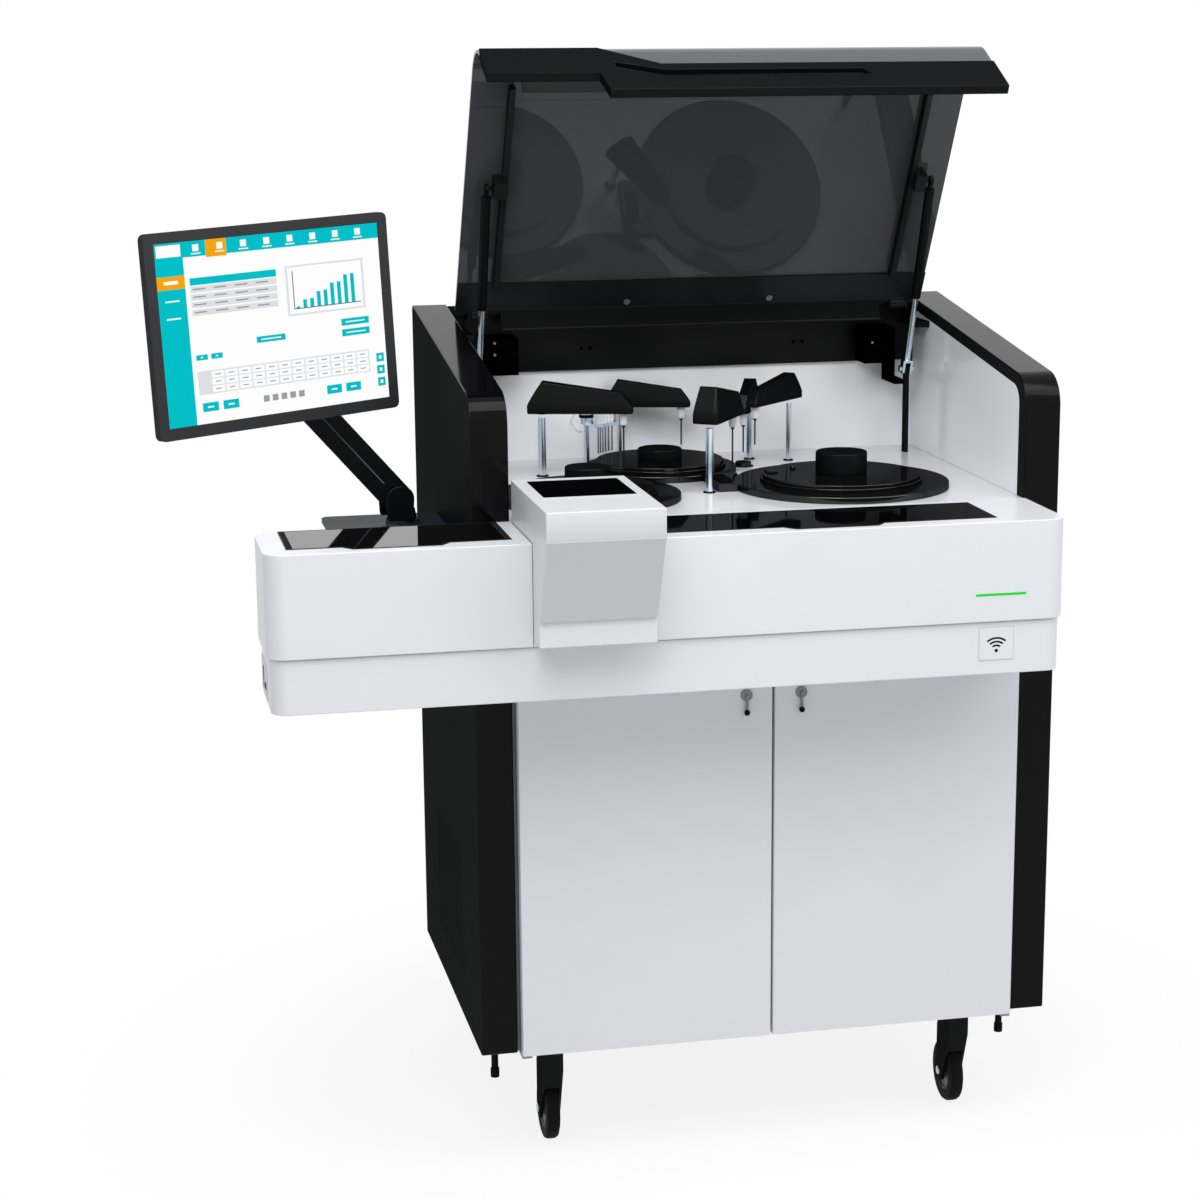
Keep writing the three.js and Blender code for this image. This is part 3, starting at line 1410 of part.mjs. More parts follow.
function levelHead() {
  const outer = linkHalf + seatGap + earPlate;
  const toPan = panSpot.clone().sub(linkEnd).applyAxisAngle(unitZ, -linkHeading);
  const pin = rod(armPinRadius, -outer, outer, smallSides, [0, 0, 0]).transform(
    new THREE.Matrix4().makeBasis(unitX, unitZ.clone().negate(), unitY).elements);
  const earSide = outlineOf([
    [-linkRadius * cornerShare, -linkRadius * cornerShare],
    [linkRadius * cornerShare, -linkRadius * cornerShare],
    [linkRadius * cornerShare, panHalf + earPlate * 3],
    [-linkRadius * cornerShare, panHalf + earPlate * 3],
  ]);
  const ears = [-1, 1].map((side) => {
    const near = side * (linkHalf + seatGap);
    return prism('y', earSide, Math.min(near, side * outer), Math.max(near, side * outer));
  });
  const bridgeLow = linkRadius + seatGap * 2;
  const bridge = box([-linkRadius * cornerShare, linkRadius * cornerShare],
    [-outer, outer], [bridgeLow, bridgeLow + earPlate * 2]);
  const tongueHalf = panRadius;
  const direction = Math.atan2(toPan.y, toPan.x);
  const distance = Math.hypot(toPan.x, toPan.y);
  const tongue = box([0, distance + tongueHalf], [-tongueHalf, tongueHalf],
    [bridgeLow, bridgeLow + earPlate * 2]).rotate([0, 0, THREE.MathUtils.radToDeg(direction)]);
  const pinTop = rod(panPinRadius, toPan.z - panHalf, bridgeLow + earPlate, smallSides,
    [toPan.x, toPan.y, 0]);
  return join(...ears, bridge, tongue, pin, pinTop);
}

const headPlace = new THREE.Group();
headPlace.position.copy(linkEnd);
headPlace.rotation.z = linkHeading;
analyzer.add(headPlace);
add('level_head', levelHead(), blackEnamel(), headPlace);

// The link between elbow and head, drawn along its own x axis.
function armLink() {
  const body = prism('y', outlineOf([
    [-linkRadius, -linkRadius, linkRadius - seatGap],
    [linkSpan + linkRadius, -linkRadius, linkRadius - seatGap],
    [linkSpan + linkRadius, linkRadius, linkRadius - seatGap],
    [-linkRadius, linkRadius, linkRadius - seatGap],
  ], 5), -linkHalf, linkHalf);
  const bores = [0, linkSpan].map((x) => rod(armPinRadius + seatGap, -linkHalf - overrun,
    linkHalf + overrun, smallSides, [0, 0, 0]).transform(
    new THREE.Matrix4().makeBasis(unitX, unitZ.clone().negate(), unitY)
      .setPosition(x, 0, 0).elements));
  return cut(body, ...bores);
}

const linkPlace = new THREE.Group();
linkPlace.position.copy(elbow);
linkPlace.rotation.set(0, -linkRise, linkHeading, 'ZYX');
analyzer.add(linkPlace);
add('arm_link', armLink(), blackEnamel(), linkPlace);

// The turret turns on the shelf's post and carries the elbow pin between two ears.
function armTurret() {
  const bottom = shelfTop + armFootHeight + seatGap - elbow.z;
  const outer = linkHalf + seatGap + earPlate;
  const sleeve = turned([
    [armPostRadius + seatGap, bottom],
    [turretRadius, bottom],
    [turretRadius, bottom + turretHeight],
    [armPostRadius + seatGap, bottom + turretHeight],
  ], roundSides, [0, 0, 0]);
  const ears = [-1, 1].map((side) => {
    const near = side * (linkHalf + seatGap);
    const rise = outlineOf([
      [-turretRadius * cornerShare, bottom],
      [turretRadius * cornerShare, bottom],
      [turretRadius * cornerShare, linkRadius * cornerShare, armPinRadius],
      [-turretRadius * cornerShare, linkRadius * cornerShare, armPinRadius],
    ]);
    return prism('y', rise, Math.min(near, side * outer), Math.max(near, side * outer));
  });
  const skirtPlate = cut(box([-turretRadius * cornerShare, turretRadius * cornerShare],
    [-outer, outer], [bottom, bottom + earPlate]),
  rod(armPostRadius + seatGap, bottom - overrun, bottom + turretHeight, roundSides, [0, 0, 0]));
  const pin = rod(armPinRadius, -outer, outer, smallSides, [0, 0, 0]).transform(
    new THREE.Matrix4().makeBasis(unitX, unitZ.clone().negate(), unitY).elements);
  return join(sleeve, ...ears, skirtPlate, pin);
}

const turretPlace = new THREE.Group();
turretPlace.position.copy(elbow);
turretPlace.rotation.z = linkHeading;
analyzer.add(turretPlace);
add('arm_turret', armTurret(), blackEnamel(), turretPlace);

// The origin goes to the floor under the middle of the overall box.
analyzer.updateMatrixWorld(true);
const overall = new THREE.Box3().setFromObject(analyzer, true);
const middle = overall.getCenter(new THREE.Vector3());
analyzer.position.set(-middle.x, -middle.y, -overall.min.z);
analyzer.updateMatrixWorld(true);

export default analyzer;
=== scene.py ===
# %% [markdown]
# # A biochemistry analyzer over its CAD frame
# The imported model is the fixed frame: every piece below is placed from its nodes and rides on one
# of its bodies. This lesson copies the plain solids where only the edges need care, and builds
# new meshes where the real thing is rounder or richer than its solid.

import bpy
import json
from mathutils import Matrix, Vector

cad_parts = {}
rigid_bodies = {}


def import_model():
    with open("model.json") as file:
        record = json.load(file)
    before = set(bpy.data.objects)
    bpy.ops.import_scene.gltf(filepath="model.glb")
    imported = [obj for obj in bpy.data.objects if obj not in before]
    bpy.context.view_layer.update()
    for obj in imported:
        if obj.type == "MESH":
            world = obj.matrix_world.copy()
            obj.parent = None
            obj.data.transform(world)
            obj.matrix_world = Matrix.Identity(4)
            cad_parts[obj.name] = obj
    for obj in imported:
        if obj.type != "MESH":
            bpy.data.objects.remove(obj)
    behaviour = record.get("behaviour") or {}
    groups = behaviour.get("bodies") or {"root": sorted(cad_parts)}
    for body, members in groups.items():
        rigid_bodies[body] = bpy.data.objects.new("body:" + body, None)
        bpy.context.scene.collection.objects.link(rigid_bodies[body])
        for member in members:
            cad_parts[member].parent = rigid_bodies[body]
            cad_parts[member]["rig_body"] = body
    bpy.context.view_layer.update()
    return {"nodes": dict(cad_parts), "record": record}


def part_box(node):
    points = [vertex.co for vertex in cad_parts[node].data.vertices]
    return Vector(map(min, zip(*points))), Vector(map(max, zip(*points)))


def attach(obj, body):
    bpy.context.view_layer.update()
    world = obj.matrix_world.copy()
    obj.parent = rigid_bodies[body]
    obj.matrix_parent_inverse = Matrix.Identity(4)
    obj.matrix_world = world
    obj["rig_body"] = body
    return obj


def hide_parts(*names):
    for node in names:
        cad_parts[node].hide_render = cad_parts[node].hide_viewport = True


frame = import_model()

import json
import math

import bmesh
import bpy
from mathutils import Matrix, Vector

nodes = frame["nodes"]
body_of_node = {node: body for body, members in frame["record"]["behaviour"]["bodies"].items()
                for node in members}

# %% [markdown]
# ## Where things are
# The maker's drawing counts millimetres from the cabinet's middle plane, the doors' front faces
# and the floor. The left side panel is 900 mm from the far side of its twin and starts 18 mm
# behind the doors, so its box gives the place of that drawing in the scene.

# %% One frame of reference
MM = 0.001
cabinet_half, panel_front = 450, 18
panel_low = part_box("left_side_panel")[0]
home = Vector((panel_low.x + cabinet_half * MM, panel_low.y - panel_front * MM, 0))


def at(x, y, z):
    return home + Vector((x, y, z)) * MM


print("drawing origin at", [round(v, 4) for v in home])

# %% [markdown]
# ## The camera first
# The photograph was taken from the front left, a little above the open lid, with a long lens.
# The position, turn and lens come from the straight edges of the cabinet. A camera aimed at a
# target would be simpler, but it can't roll, and the picture is turned by a third of a degree. It
# was also cropped off-centre, so the lens has a small shift.

# %% Camera
photo_pixels, focal_pixels = 1200, 2644.97
axis_pixel_x, axis_pixel_y = 644.99, 634.48
sensor_width = 36
camera_place = at(-1026.6, -3706.3, 1703.0)
yaw, pitch, roll = (math.radians(v) for v in (12.61, 12.94, -0.29))
forward = Vector((math.sin(yaw) * math.cos(pitch), math.cos(yaw) * math.cos(pitch),
                  -math.sin(pitch)))
level = Vector((math.cos(yaw), -math.sin(yaw), 0))
rise = level.cross(forward)
right = level * math.cos(roll) + rise * math.sin(roll)
up = rise * math.cos(roll) - level * math.sin(roll)
turn = Matrix((right, up, -forward)).transposed().to_4x4()
lens = bpy.data.cameras.new("photo_lens")
lens.sensor_width = sensor_width
lens.lens = sensor_width * focal_pixels / photo_pixels
lens.shift_x = (photo_pixels / 2 - axis_pixel_x) / photo_pixels
lens.shift_y = (axis_pixel_y - photo_pixels / 2) / photo_pixels
lens.clip_end = 50
camera = bpy.data.objects.new("photo_camera", lens)
camera.matrix_world = Matrix.Translation(camera_place) @ turn
bpy.context.scene.collection.objects.link(camera)
bpy.context.scene.camera = camera
print("lens", round(lens.lens, 1), "mm")

# %% [markdown]
# ## Light, floor and background
# The photograph is a studio cut-out on white. A white world does the same for the eye and for
# reflections, while what falls on the object stays plain and soft: a little sky and three broad
# lamps. Shader nodes are added with one helper, and colours are written as the sRGB values that
# one sees.

# %% Colour and node helpers
def linear(hex_colour):
    def channel(pair):
        value = int(pair, 16) / 255
        return value / 12.92 if value <= 0.04045 else ((value + 0.055) / 1.055) ** 2.4
    text = hex_colour.lstrip("#")
    return (*(channel(text[i:i + 2]) for i in (0, 2, 4)), 1)


def add_node(tree, kind, inputs=None, **settings):
    made = tree.nodes.new(kind)
    for name, value in settings.items():
        setattr(made, name, value)
    for name, value in (inputs or {}).items():
        if isinstance(value, bpy.types.NodeSocket):
            tree.links.new(value, made.inputs[name])
        else:
            made.inputs[name].default_value = value
    return made


# %% World
sky_share = 0.36
world = bpy.data.worlds.new("studio")
bpy.context.scene.world = world
world.use_nodes = True
sky = world.node_tree
sky.nodes.clear()
rays = add_node(sky, "ShaderNodeLightPath")
seen = add_node(sky, "ShaderNodeMath", {0: rays.outputs["Is Camera Ray"],
                                        1: rays.outputs["Is Glossy Ray"]}, operation="MAXIMUM")
seen = add_node(sky, "ShaderNodeMath", {0: seen.outputs[0],
                                        1: rays.outputs["Is Transmission Ray"]},
                operation="MAXIMUM")
strength = add_node(sky, "ShaderNodeMapRange", {"Value": seen.outputs[0], "To Min": sky_share,
                                                "To Max": 1.0})
backdrop = add_node(sky, "ShaderNodeBackground", {"Color": linear("#ffffff"),
                                                  "Strength": strength.outputs[0]})
add_node(sky, "ShaderNodeOutputWorld", {"Surface": backdrop.outputs[0]})
bpy.context.scene.view_settings.view_transform = "Standard"
print("white world, sky at", sky_share)

# %% [markdown]
# The key lamp stands at the front left, a weaker one fills from the right, and the strongest hangs
# over the deck. Area lamps of about two metres are like the softboxes of a product studio, and
# their shadows have no hard edge.

# %% Lamps
def lamp(name, place, target, size, watts):
    light = bpy.data.lights.new(name, "AREA")
    light.shape = "RECTANGLE"
    light.size, light.size_y = size
    light.energy = watts
    made = bpy.data.objects.new(name, light)
    made.location = place
    made.rotation_euler = (target - place).to_track_quat("-Z", "Y").to_euler()
    bpy.context.scene.collection.objects.link(made)


cabinet_middle = at(0, 250, 850)
lamp("key_softbox", at(-1300, -1900, 3300), cabinet_middle, (1.8, 1.8), 52)
lamp("fill_softbox", at(2200, -1700, 2700), cabinet_middle, (1.8, 2.0), 34)
lamp("top_softbox", at(200, -900, 3600), at(0, 300, 1000), (2.4, 1.6), 54)
print(len(bpy.data.lights), "lamps")

# %% [markdown]
# The floor is white paper near the machine, where it takes the soft shadow, and fades to a plain
# white glow for the camera and for mirrors, so that it has no far edge.

# %% Floor sheet
def mesh_object(name, bm):
    data = bpy.data.meshes.new(name)
    bm.normal_update()
    bm.to_mesh(data)
    bm.free()
    made = bpy.data.objects.new(name, data)
    bpy.context.scene.collection.objects.link(made)
    return made


floor_mesh = bmesh.new()
bmesh.ops.create_grid(floor_mesh, x_segments=1, y_segments=1, size=9)
floor = mesh_object("studio_floor", floor_mesh)
floor.location = at(0, 300, -0.5)
print("floor sheet", floor.dimensions.x, "m wide")

# %% Floor paint
floor_paint = bpy.data.materials.new("white_studio_floor")
floor_paint.use_nodes = True
tree = floor_paint.node_tree
tree.nodes.clear()
rays = add_node(tree, "ShaderNodeLightPath")
paper = add_node(tree, "ShaderNodeBsdfDiffuse", {"Color": linear("#f4f4f5")})
glow = add_node(tree, "ShaderNodeEmission", {"Color": linear("#ffffff"), "Strength": 1.0})
place = add_node(tree, "ShaderNodeTexCoord")
away = add_node(tree, "ShaderNodeVectorMath", {0: place.outputs["Object"]}, operation="LENGTH")
fade = add_node(tree, "ShaderNodeMapRange", {"Value": away.outputs["Value"], "From Min": 0.4,
                                             "From Max": 1.2, "To Min": 0.86, "To Max": 1.0},
                interpolation_type="SMOOTHSTEP")
lit = add_node(tree, "ShaderNodeMixShader", {0: fade.outputs[0], 1: paper.outputs[0],
                                             2: glow.outputs[0]})
seen = add_node(tree, "ShaderNodeMath", {0: rays.outputs["Is Camera Ray"],
                                         1: rays.outputs["Is Glossy Ray"]}, operation="MAXIMUM")
mixed = add_node(tree, "ShaderNodeMixShader", {0: seen.outputs[0], 1: paper.outputs[0],
                                               2: lit.outputs[0]})
add_node(tree, "ShaderNodeOutputMaterial", {"Surface": mixed.outputs[0]})
floor.data.materials.append(floor_paint)
print("floor painted")

# %% [markdown]
# ## Finishes
# Every surface here is one of about forty finishes. Each starts from its real material: the colour
# as an sRGB value, the refractive index of its plastic or lacquer, and a fine relief at the size
# that the process leaves, such as the orange peel of powder coat or the grain of a mould. The
# grains keep their real size, 1.2 mm at most. From this far they are finer than a pixel or close
# to it, and show only as a softer gloss. Drawn coarser they would look like dents.
#
# A plain gloss turns pale at grazing angles, and the blacks of this machine don't. For them the
# gloss is taken off and an even share of a white mirror is mixed in instead.

# %% A finish from its facts
def finish(name, colour, roughness, *, metallic=0.0, ior=1.5, specular=0.5, grain_mm=0.6,
           relief=0.03, mottle=0.02, spread=0.06, alpha=1.0, even_gloss=0.0):
    made = bpy.data.materials.new(name)
    made.use_nodes = True
    tree = made.node_tree
    tree.nodes.clear()
    place = add_node(tree, "ShaderNodeTexCoord")
    grain = add_node(tree, "ShaderNodeTexNoise", {
        "Vector": place.outputs["Object"], "Scale": 1 / (grain_mm * MM), "Detail": 2.0})
    cloud = add_node(tree, "ShaderNodeTexNoise", {
        "Vector": place.outputs["Object"], "Scale": 9.0, "Detail": 4.0})
    base = linear(colour)
    lighter = tuple(min(1, v * (1 + mottle)) for v in base[:3]) + (1,)
    darker = tuple(v * (1 - mottle) for v in base[:3]) + (1,)
    tint = add_node(tree, "ShaderNodeMix", {
        "Factor": cloud.outputs["Fac"], 6: darker, 7: lighter}, data_type="RGBA")
    gloss = add_node(tree, "ShaderNodeMapRange", {
        "Value": cloud.outputs["Fac"], "To Min": max(0.0, roughness * (1 - spread)),
        "To Max": min(1.0, roughness * (1 + spread))})
    bump = add_node(tree, "ShaderNodeBump", {
        "Height": grain.outputs["Fac"], "Strength": relief, "Distance": grain_mm * MM * 0.2})
    shader = add_node(tree, "ShaderNodeBsdfPrincipled", {
        "Base Color": tint.outputs[2], "Roughness": gloss.outputs[0],
        "Normal": bump.outputs[0], "Metallic": metallic, "Alpha": alpha})
    if not metallic:
        shader.inputs["IOR"].default_value = ior
        shader.inputs["Specular IOR Level"].default_value = specular
    if even_gloss:
        shader.inputs["Specular IOR Level"].default_value = 0.0
        mirror = add_node(tree, "ShaderNodeBsdfGlossy", {
            "Color": linear("#ffffff"), "Roughness": gloss.outputs[0],
            "Normal": bump.outputs[0]})
        shader = add_node(tree, "ShaderNodeMixShader", {
            0: even_gloss, 1: shader.outputs[0], 2: mirror.outputs[0]})
    add_node(tree, "ShaderNodeOutputMaterial", {"Surface": shader.outputs[0]})
    return made


# %% [markdown]
# ### White and grey coats
# The front module is moulded ABS with a 0.5 mm spark-eroded grain, which gives a satin white. The
# deck is glossier, so the discs and columns show in it as blurred mirror images. The liners around
# it are white lacquer painted brighter still, which is painted light that lifts the shade inside
# the cabinet. Powder coat on the doors has a 0.9 mm orange peel that breaks every highlight, so
# they look flat and even. The sloping facing is a darker ABS that sets it off from the white
# housing.

# %% White and grey finishes
white_abs = finish("white_abs_moulding", "#d7dadf", 0.30, ior=1.53, grain_mm=0.5, relief=0.02)
deck_abs = finish("glossy_white_deck", "#d6d8dd", 0.16, ior=1.53, grain_mm=0.8, relief=0.012)
# painted light: a brighter copy of the white for the liners and the deck's upright faces in the
# cabinet's shade
painted_light_white = finish("white_liner_with_painted_light", "#f6f8fb", 0.14, ior=1.53, grain_mm=0.8,
                     relief=0.01)
powder_grey = finish("powder_coated_steel", "#d3d6db", 0.42, ior=1.5, grain_mm=0.9, relief=0.05)
shade_grey = finish("grey_abs_facing", "#c3c7cc", 0.38, ior=1.53, grain_mm=0.5, relief=0.02)
print(len(bpy.data.materials), "materials so far")

# %% [markdown]
# ### Blacks
# No two blacks here are alike. The panels' rims are lacquered and take narrow bright streaks,
# while their outer faces are textured sheet that stays dull. The lid's frame is enamelled steel, a
# shade lighter than the satin ABS of hoods and rail. The discs on the deck are polished, so they
# mirror what stands on them, and grips are deeply textured and nearly without gloss. The monitor's
# bezel is moulded in charcoal, a soft dark grey, and its shelf is lacquered like a dim mirror.

# %% Black finishes
black_lacquer = finish("black_lacquered_rim", "#060607", 0.10, specular=0.10, grain_mm=0.8,
                       relief=0.02, mottle=0.08)
black_sheet = finish("black_textured_sheet", "#191a1b", 0.30, even_gloss=0.008, grain_mm=0.8,
                     relief=0.05, mottle=0.08)
lid_black = finish("black_enamelled_lid_frame", "#1a1b1c", 0.30, even_gloss=0.016, grain_mm=0.6,
                   relief=0.03, mottle=0.06)
black_abs = finish("black_abs_moulding", "#0c0d0e", 0.30, even_gloss=0.0075, grain_mm=0.4,
                   relief=0.05, mottle=0.06)
disc_black = finish("black_polished_disc", "#0b0b0c", 0.08, even_gloss=0.04, grain_mm=1.2,
                    relief=0.012, mottle=0.05)
grip_black = finish("black_textured_grip", "#08090a", 0.55, even_gloss=0.004, grain_mm=0.9,
                    relief=0.2)
bezel_black = finish("charcoal_monitor_bezel", "#2b2c2f", 0.40, even_gloss=0.012, grain_mm=0.4,
                     relief=0.08)
shelf_grey = finish("graphite_lacquered_shelf", "#2b2e33", 0.10, even_gloss=0.10, grain_mm=0.7,
                    relief=0.02)
print(len(bpy.data.materials), "materials so far")

# %% [markdown]
# ### Acrylic and glass
# The lid is smoked cast acrylic: an almost perfect mirror over a dark grey body, and so flat that
# it gets no relief. The left bay lid is polished glass that mirrors the white studio, and the
# right one is black acrylic with a weaker mirror. Tinted glass, over the screen and in the
# housing's roof, is nearly black with a faint sheen. Borosilicate and PMMA are clear, which a low
# alpha shows well enough at this size.

# %% Acrylic and glass finishes
smoked_acrylic = finish("smoked_acrylic_sheet", "#444549", 0.01, ior=1.49, specular=0.32,
                        relief=0.0, mottle=0.03)
tinted_glass = finish("dark_tinted_glass", "#040405", 0.03, even_gloss=0.012, relief=0.0,
                      mottle=0.02)
bay_glass = finish("polished_black_glass", "#040405", 0.03, ior=1.5, specular=0.5, relief=0.0,
                   mottle=0.02)
bay_acrylic = finish("black_acrylic_sheet", "#040405", 0.04, even_gloss=0.045, relief=0.0,
                     mottle=0.02)
clear_glass = finish("clear_borosilicate_glass", "#dfe9f0", 0.03, ior=1.47, relief=0.0,
                     mottle=0.0, alpha=0.38)
cuvette_clear = finish("clear_pmma_cuvette", "#d8e4ea", 0.12, ior=1.49, relief=0.0, alpha=0.6)
print(len(bpy.data.materials), "materials so far")

# %% [markdown]
# ### Metals
# Chrome on the columns is bluish and close to a mirror, so each column shows the studio as narrow
# upright streaks. Stainless screws are brushed and glint softly. The frame and the back are
# zinc-plated sheet, a cloudy and duller grey, the locks are die-cast zinc with hardly a shine, and
# bare brass gives one fluid port a warm yellow.

# %% Metal finishes
chrome = finish("chromed_steel", "#e4eef9", 0.2, metallic=1.0, grain_mm=0.8, relief=0.01,
                spread=0.2)
bright_steel = finish("brushed_stainless_steel", "#b9bcc0", 0.28, metallic=1.0, grain_mm=0.3,
                      relief=0.08)
zinc_sheet = finish("grey_zinc_plated_sheet", "#83888e", 0.42, metallic=0.6, grain_mm=0.7,
                    relief=0.06, mottle=0.08)
lock_grey = finish("grey_zinc_lock", "#74787d", 0.38, metallic=0.3, grain_mm=0.4, relief=0.04)
brass_tone = finish("natural_brass_fitting", "#c9a45a", 0.3, metallic=1.0, grain_mm=0.4,
                    relief=0.05)
print(len(bpy.data.materials), "materials so far")

# %% [markdown]
# ### Rubber and small plastics
# Tyres and feet are moulded rubber, too rough to reflect anything. Hubs are grey nylon with a
# faint sheen, nozzles are milky white acetal, and needles have a smooth PTFE coat that keeps one
# thin highlight. The stores inside are translucent polyethylene, cloudy rather than clear, with
# blue polypropylene caps.

# %% Rubber and plastic finishes
rubber = finish("black_moulded_rubber", "#0e0e0f", 0.72, ior=1.52, specular=0.08, grain_mm=0.7,
                relief=0.25, mottle=0.15)
nylon_grey = finish("grey_nylon_hub", "#3b3d40", 0.5, ior=1.53, grain_mm=0.5, relief=0.1)
white_pom = finish("white_acetal_nozzle", "#eceef0", 0.34, ior=1.48, grain_mm=0.4, relief=0.02)
needle_black = finish("ptfe_coated_needle", "#0c0c0d", 0.3, specular=0.3, grain_mm=0.3,
                      relief=0.02)
bottle_hdpe = finish("translucent_hdpe_bottle", "#dfe6ea", 0.42, ior=1.54, grain_mm=0.7,
                     relief=0.05, alpha=0.92)
cap_blue = finish("blue_polypropylene_cap", "#2b6ea8", 0.4, ior=1.49, grain_mm=0.5, relief=0.05)
print(len(bpy.data.materials), "materials so far")

# %% [markdown]
# ### Painted shade, a painted highlight and a printed border
# A thin grey line at the housing's joint is painted shade for the gap there, and a grey strip on
# the monitor arm's link is a painted highlight along its seam, both without shine. The bay lids
# have a printed charcoal border, which is duller than the glass in it, and an unlit black is
# painted shade for holes, deep recesses that no lamp reaches and faces that lie in deep shade.

# %% Painted shade, highlight and border finishes
# painted shade: a grey for the shadow in the joint between housing and module
gap_shade_grey = finish("grey_painted_gap_shade", "#6e7175", 0.7, specular=0.0)
border_print = finish("charcoal_printed_border", "#1f2022", 0.35, even_gloss=0.012, grain_mm=0.4)
# painted highlight: a lighter grey for the lit edge along the monitor arm's link
painted_highlight_grey = finish("grey_painted_link_highlight", "#5a5c60", 0.5, even_gloss=0.02)
# painted shade: flat unlit black for holes, recesses and faces in deep shade
painted_shade_black = finish("unlit_painted_shade", "#020202", 0.9, specular=0.0)
print(len(bpy.data.materials), "materials so far")

# %% [markdown]
# ### Lit surfaces
# The status bar and the display give off light, so they are emission at a plain level. A 0.3 mm
# noise of three per cent stands for their pixels and diffuser. It is too fine to be seen from
# here and only takes the dead evenness off a colour.

# %% Lit finishes
def lit_finish(name, colour):
    made = bpy.data.materials.new(name)
    made.use_nodes = True
    tree = made.node_tree
    tree.nodes.clear()
    place = add_node(tree, "ShaderNodeTexCoord")
    pixels = add_node(tree, "ShaderNodeTexNoise", {
        "Vector": place.outputs["Object"], "Scale": 1 / (0.3 * MM)})
    base = linear(colour)
    dim = tuple(v * 0.97 for v in base[:3]) + (1,)
    tint = add_node(tree, "ShaderNodeMix", {
        "Factor": pixels.outputs["Fac"], 6: dim, 7: base}, data_type="RGBA")
    shader = add_node(tree, "ShaderNodeBsdfPrincipled", {
        "Base Color": linear("#020202"), "Roughness": 0.35, "Specular IOR Level": 0.0,
        "Emission Color": tint.outputs[2], "Emission Strength": 1.0})
    add_node(tree, "ShaderNodeOutputMaterial", {"Surface": shader.outputs[0]})
    return made


status_green = lit_finish("green_status_light", "#22e03c")
screen_colours = {name: lit_finish("display_" + name, colour) for name, colour in {
    "white": "#ffffff", "teal": "#02c0c9", "amber": "#f7a60a", "grey": "#dfe1e5",
    "line": "#9aa0a6", "dark": "#4a5056"}.items()}
print("finishes ready:", len(bpy.data.materials))

# %% [markdown]
# ## Making pieces
# A refined piece starts as a copy of its node: the triangles are merged to whole faces, the sharp
# edges get the small radius that the real part has, and the shading is smoothed by angle.
# Modelling each piece anew would risk a drift from the CAD, and a plain copy would show razor
# edges that catch no light.

# %% Dress a mesh
def keep_flats_flat(made):
    made.modifiers.new("flat_faces_stay_flat", "WEIGHTED_NORMAL").keep_sharp = True


def dress(made, material, body, angle=32):
    if not made.data.materials:
        made.data.materials.append(material)
    made.data.shade_smooth()
    made.data.set_sharp_from_angle(angle=math.radians(angle))
    keep_flats_flat(made)
    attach(made, body)
    return made


def with_modifiers(made):
    bpy.context.view_layer.update()
    view = bpy.context.evaluated_depsgraph_get()
    data = bpy.data.meshes.new_from_object(made.evaluated_get(view))
    old = made.data
    made.modifiers.clear()
    made.data = data
    bpy.data.meshes.remove(old)
    return made


# %% Soft edges
def soften(made, radius_mm, steps=2, angle=40):
    bevel = made.modifiers.new("edge_radius", "BEVEL")
    bevel.width = radius_mm * MM
    bevel.segments = steps
    bevel.limit_method = "ANGLE"
    bevel.angle_limit = math.radians(angle)
    bevel.harden_normals = False
    return with_modifiers(made)


# %% Refine a node
def whole_faces(node):
    bm = bmesh.new()
    bm.from_mesh(nodes[node].data)
    bmesh.ops.remove_doubles(bm, verts=bm.verts, dist=0.02 * MM)
    bmesh.ops.dissolve_limit(bm, angle_limit=math.radians(1), verts=bm.verts, edges=bm.edges)
    return bm


def refined(node, material, radius_mm=0.0, steps=2, shade=32):
    made = mesh_object(node + "_skin", whole_faces(node))
    if radius_mm:
        soften(made, radius_mm, steps)
    made.data.materials.clear()
    dress(made, material, body_of_node[node], shade)
    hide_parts(node)
    return made


# %% [markdown]
# ## The cabinet
# ### Doors and latches
# The doors are powder-coated pans with a small folded radius. Each has a cam lock whose key bow
# hangs below it, grey above and black at its end. One mesh can show both: the faces below a height
# get a second material slot.

# %% Doors and latches
def slots(made, extra, choose):
    for material in extra:
        made.data.materials.append(material)
    for face in made.data.polygons:
        face.material_index = int(choose(face))


key_end = 9.2
for side in ("left", "right"):
    refined(side + "_door", powder_grey, 0.9)
    latch = refined(side + "_latch", lock_grey, 0.3, steps=1)
    end_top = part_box(side + "_latch")[0].z + key_end * MM
    slots(latch, [grip_black], lambda face: face.center.z < end_top)
print("doors and latches hung")

# %% [markdown]
# ### Frame and deck
# The welded frame is zinc-plated. The deck is one white moulding. Its upright faces behind the
# carousels get the liners' brighter white, which is painted light against the shade they stand in.

# %% Frame and deck
deck_z, upstand_from = 1005.5, 8
refined("base_frame", zinc_sheet)
deck_skin = refined("work_deck", deck_abs, 0.6, steps=1)
# painted light: the deck's upright faces, picked by their normal, get the brighter liner white
slots(deck_skin, [painted_light_white], lambda face: abs(face.normal.y) > 0.9
      and face.center.z > (deck_z + upstand_from) * MM)
print("deck top at", deck_z)

# %% [markdown]
# ### Outlines pushed to solids
# Sheet parts are drawn as an outline and pushed along an axis. A corner is (u, v) or, with a
# radius, (u, v, r), and the helper works out its arc, so each outline stays as short as it is on
# paper. A hollow part is carved with a second outline by a boolean.

